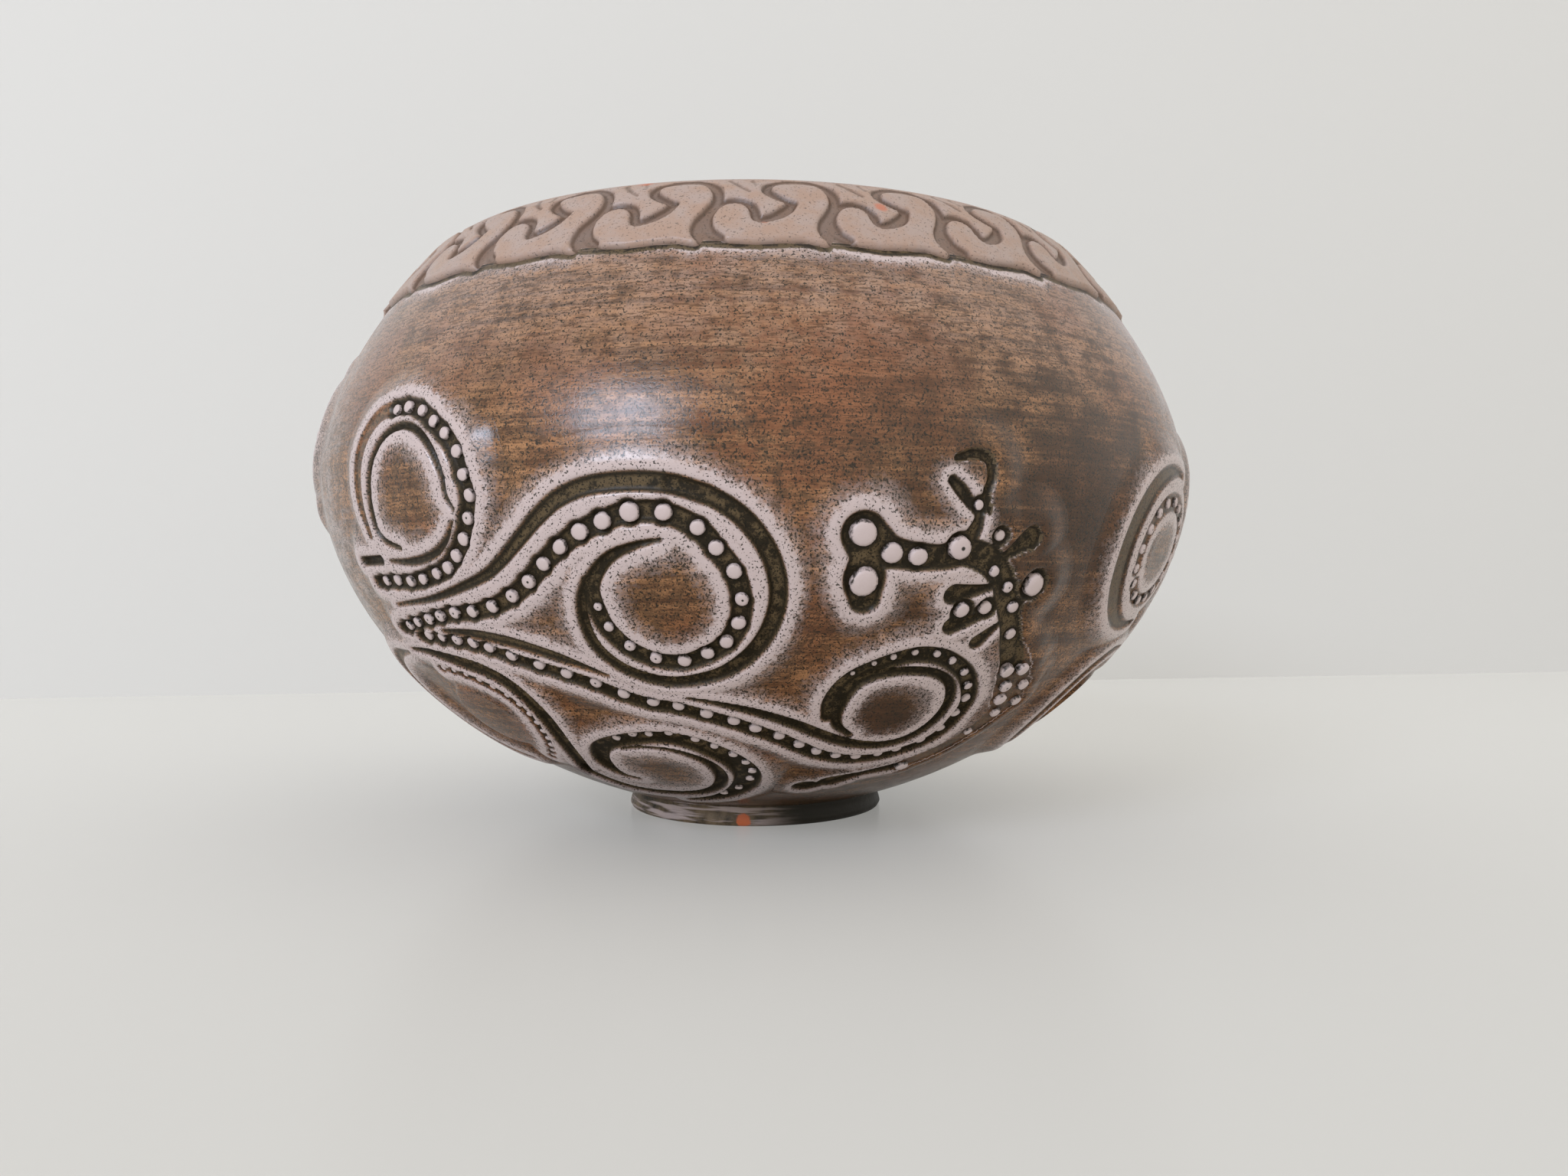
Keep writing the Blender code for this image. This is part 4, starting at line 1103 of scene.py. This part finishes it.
def bead_slip(slips):
    """Pale slip on a punched bead: rubbed on top, stained round its foot, now and then pricked with a pin."""
    material, add, finish, place = new_material("rubbed slip on beads")
    inside = add("ShaderNodeAttribute", attribute_name="bead_place").outputs["Vector"]
    chance = add("ShaderNodeAttribute", attribute_name="bead_chance").outputs["Fac"]
    # Mottling of about a millimetre
    mottle = add("ShaderNodeTexNoise", {"Vector": place, "Scale": 900.0, "Detail": 4.0, "Roughness": 0.7})
    level = add("ShaderNodeVectorMath", (inside, (1.0, 1.0, 0.0)), operation="MULTIPLY")
    middle = add("ShaderNodeVectorMath", (level,), operation="LENGTH")
    ragged = add("ShaderNodeMath", (mottle, 0.9, middle), operation="MULTIPLY_ADD")
    top = add("ShaderNodeMapRange", (ragged, 1.30, 1.50, 1.0, 0.0), **EASED)
    reach = add("ShaderNodeVectorMath", (level, (0.06, 0.1, 0.0)), operation="DISTANCE")
    hole = add("ShaderNodeMapRange", (reach, 0.14, 0.2, 1.0, 0.0))
    chosen = add("ShaderNodeMath", (chance, 0.82), operation="GREATER_THAN")
    pricked = add("ShaderNodeMath", (hole, chosen), operation="MULTIPLY")
    colour = slips.stain
    for share, slip in ((top, slips.rubbed), (pricked, slips.stain)):
        colour = add("ShaderNodeMix", {0: share, 6: colour, 7: slip}, data_type="RGBA")
    bump = add("ShaderNodeBump", {"Strength": 0.3, "Distance": 0.0003, "Height": mottle})
    finish({"Base Color": colour, "Roughness": 0.42, "Normal": bump})
    return material


def rim_slip(slips):
    """Greyish pink slip on the rim: rubbed flat on top, browner in the cuts, with bare chips and painted
    shade along the waves' lower edge.
    """
    name = "rubbed slip on rim"
    if name in bpy.data.materials:
        return bpy.data.materials[name]
    material, add, finish, place = new_material(name)
    edge, depth = [add("ShaderNodeAttribute", attribute_name=stored).outputs["Fac"]
                   for stored in ("carving_edge", "carving_depth")]
    # Clouds of about 17 mm, mottling of about 5 mm and specks of about 0.4 mm
    cloud, mottle, speck = [
        add("ShaderNodeTexNoise", {"Vector": place, "Scale": scale, "Detail": detail, "Roughness": rough})
        for scale, detail, rough in ((60.0, 3.0, 0.6), (220.0, 6.0, 0.65), (2600.0, 2.0, 0.6))]
    tone = add("ShaderNodeMapRange", (mottle, 0.35, 0.65, 0.35, 0.0), **EASED)
    # Browner in the cuts; the depth also carries painted shade along the waves' lower edge
    pooled = add("ShaderNodeMath", (mottle, 0.4, depth), operation="MULTIPLY_ADD")
    stained = add("ShaderNodeMapRange", (pooled, 0.4, 1.0, 0.0, 0.62), **EASED)
    rough = add("ShaderNodeMath", (mottle, 0.8, edge), operation="MULTIPLY_ADD")
    line = add("ShaderNodeMapRange", (away_from(add, rough, 0.25), 0.08, 0.45, 0.6, 0.0))
    pits = add("ShaderNodeMapRange", (speck, 0.61, 0.66, 0.0, 0.6))
    layers = [(tone, slips.field), (stained, slips.shade), (line, slips.shade), (pits, slips.stain)]
    wall = Wall(bpy.context.scene.vase_turned)
    for spot, reach in CHIPS:
        away = add("ShaderNodeVectorMath", (place, wall.point(*spot, 0.0008)), operation="DISTANCE")
        ragged = add("ShaderNodeMath", (mottle, reach * 1.6, away), operation="MULTIPLY_ADD")
        layers.append((add("ShaderNodeMapRange", (ragged, reach * 1.4, reach * 1.9, 0.7, 0.0)), slips.chip))
    colour = slips.rim
    for share, slip in layers:
        colour = add("ShaderNodeMix", {0: share, 6: colour, 7: slip}, data_type="RGBA")
    gloss = add("ShaderNodeMapRange", (cloud, 0.3, 0.7, 0.36, 0.5))
    bump = add("ShaderNodeBump", {"Strength": 0.3, "Distance": 0.0004, "Height": mottle})
    finish({"Base Color": colour, "Roughness": gloss, "Normal": bump})
    return material


def raw_clay(slips):
    """Bare thrown terracotta inside: fine wheel lines and a chalky, matt face."""
    material, add, finish, place = new_material("thrown terracotta inside")
    # Wheel lines about a millimetre apart, and mottling of about 8 mm
    lines = streaks(add, place, 0, (30.0, 30.0, 1100.0), 3.0)
    mottle = add("ShaderNodeTexNoise", {"Vector": place, "Scale": 120.0, "Detail": 6.0, "Roughness": 0.6})
    tone = add("ShaderNodeMath", (lines, 0.6, mottle), operation="MULTIPLY_ADD")
    share = add("ShaderNodeMapRange", (tone, 0.55, 1.05, 0.0, 1.0))
    colour = add("ShaderNodeMix", {0: share, 6: slips.shade, 7: slips.warm}, data_type="RGBA")
    bump = add("ShaderNodeBump", {"Strength": 0.5, "Distance": 0.0004, "Height": tone})
    finish({"Base Color": colour, "Roughness": 0.75, "Normal": bump})
    return material


def dark_clay(slips):
    """Bare turned foot: nearly black on one side, rubbed pale in streaks on the other, with one bare chip."""
    material, add, finish, place = new_material("turned terracotta foot")
    # Mottling of about 4 mm, and rubbed streaks of a millimetre or less along the turning
    mottle = add("ShaderNodeTexNoise", {"Vector": place, "Scale": 250.0, "Detail": 6.0, "Roughness": 0.65})
    streak = streaks(add, place, 0, (90.0, 90.0, 1200.0), 3.0)
    across = add("ShaderNodeSeparateXYZ", (place,)).outputs[0]
    side = add("ShaderNodeMapRange", (across, -0.006, 0.010, 1.0, 0.0), **EASED)
    brown = add("ShaderNodeMapRange", (mottle, 0.35, 0.65, 0.0, 1.0))
    brown = add("ShaderNodeMath", (brown, side), operation="MULTIPLY")
    pale = add("ShaderNodeMapRange", (streak, 0.49, 0.61, 0.0, 0.68))
    pale = add("ShaderNodeMath", (pale, side), operation="MULTIPLY")
    away = add("ShaderNodeVectorMath", (place, FOOT_CHIP), operation="DISTANCE")
    ragged = add("ShaderNodeMath", (mottle, 0.002, away), operation="MULTIPLY_ADD")
    bare = add("ShaderNodeMapRange", (ragged, 0.0023, 0.0027, 0.95, 0.0))
    colour = slips.stain
    for share, slip in ((brown, slips.foot), (pale, slips.rubbed), (bare, slips.chip)):
        colour = add("ShaderNodeMix", {0: share, 6: colour, 7: slip}, data_type="RGBA")
    bump = add("ShaderNodeBump", {"Strength": 0.4, "Distance": 0.0005, "Height": mottle})
    finish({"Base Color": colour, "Roughness": 0.5, "Specular IOR Level": 0.25, "Normal": bump})
    return material


class VASE_OT_set_stage(bpy.types.Operator):
    """Sets the pale table, which glows a little to lift the vase's shadow, and the backdrop, the soft lamp
    and the camera.
    """

    bl_idname = "vase.set_stage"
    bl_label = "Set the stage"

    def execute(self, context):
        scene = context.scene
        # Table corners, then the foot of the back wall, which stands a little askew, and its top
        left, right = Vector((-2.0, -0.054, 0.0)), Vector((2.0, 0.644, 0.0))
        rise = Vector((0.0, 0.0, 2.0))
        points = [(-2.0, -2.0, 0.0), (2.0, -2.0, 0.0), right, left, right + rise, left + rise]
        backdrop = link("table", new_mesh("table", points, np.array([(0, 1, 2, 3), (3, 2, 4, 5)])))
        backdrop.data.polygons.foreach_set("use_smooth", [False, False])
        # The table glows a little: painted light that lifts the vase's shadow on it
        table, _, finish, _ = new_material("white lacquered table")
        finish({"Base Color": linear("#B9B7B2"), "Emission Color": linear("#EBEBE8"),
                "Emission Strength": 0.25, "Roughness": 0.25, "Specular IOR Level": 0.06})
        paint, _, finish, _ = new_material("matt white wall paint")
        finish({"Base Color": linear("#DDDBD6"), "Roughness": 0.9})
        backdrop.data.materials.append(table)
        backdrop.data.materials.append(paint)
        backdrop.data.polygons[1].material_index = 1

        # An even room, a little brighter to the right, so that the lamp's shade stays soft
        world = bpy.data.worlds.new("studio")
        world.use_nodes = True
        add = partial(add_node, world.node_tree)
        direction = add("ShaderNodeTexCoord").outputs["Generated"]
        side = add("ShaderNodeVectorMath", (direction, (-0.74, -0.64, 0.21)), operation="DOT_PRODUCT")
        strength = add("ShaderNodeMapRange", (side, -0.5, 0.8, 1.04, 0.76), **EASED)
        background = world.node_tree.nodes["Background"]
        fill(world.node_tree, background, {"Color": linear("#FAF7F1"), "Strength": strength})
        scene.world = world
        lamp = bpy.data.lights.new("window lamp", "AREA")
        lamp.size = 1.2
        lamp.energy = 56.0
        lamp.color = linear("#E0EAFF")
        window = link("window lamp", lamp)
        window.location = (-1.60, -2.46, 1.35)
        window.rotation_euler = (Vector((0, 0, 0.06)) - window.location).to_track_quat("-Z", "Y").to_euler()

        camera = bpy.data.cameras.new("camera")
        camera.sensor_width = 36.0
        camera.sensor_fit = "HORIZONTAL"
        camera.lens = camera.sensor_width * FOCAL_PIXELS / PICTURE_PIXELS
        camera.clip_start = 0.01
        view = link("camera", camera)
        view.location = (0.0, -0.2556, 0.0480)
        view.rotation_euler = (math.pi / 2 - 0.0021, 0.0, -0.0248)
        scene.camera = view
        scene.view_settings.view_transform = "Standard"
        return {"FINISHED"}


class VASE_PT_panel(bpy.types.Panel):
    """Lists the steps that dress the vase."""

    bl_label = "Carved vase"
    bl_idname = "VASE_PT_panel"
    bl_space_type = "VIEW_3D"
    bl_region_type = "UI"
    bl_category = "Vase"

    def draw(self, context):
        for step in STEPS:
            self.layout.operator(step.bl_idname)
        for group in (context.scene.vase_turned, context.scene.vase_carving, context.scene.vase_slips):
            column = self.layout.column()
            for name in group.bl_rna.properties.keys():
                if name not in ("rna_type", "name"):
                    column.prop(group, name)


GROUPS = (TurnedSizes, CarvingSizes, SlipColours)
STEPS = (VASE_OT_turn_body, VASE_OT_turn_foot, VASE_OT_turn_rim, VASE_OT_carve_scrolls, VASE_OT_press_waves,
         VASE_OT_set_stage)


def register():
    for kind in (*GROUPS, *STEPS, VASE_PT_panel):
        bpy.utils.register_class(kind)
    bpy.types.Scene.vase_turned = PointerProperty(type=TurnedSizes)
    bpy.types.Scene.vase_carving = PointerProperty(type=CarvingSizes)
    bpy.types.Scene.vase_slips = PointerProperty(type=SlipColours)


def unregister():
    del bpy.types.Scene.vase_turned
    del bpy.types.Scene.vase_carving
    del bpy.types.Scene.vase_slips
    for kind in reversed((*GROUPS, *STEPS, VASE_PT_panel)):
        bpy.utils.unregister_class(kind)


def main():
    register()
    bpy.ops.vase.turn_body()
    bpy.ops.vase.turn_foot()
    bpy.ops.vase.turn_rim()
    bpy.ops.vase.carve_scrolls()
    bpy.ops.vase.press_waves()
    bpy.ops.vase.set_stage()


if __name__ == "__main__":
    main()
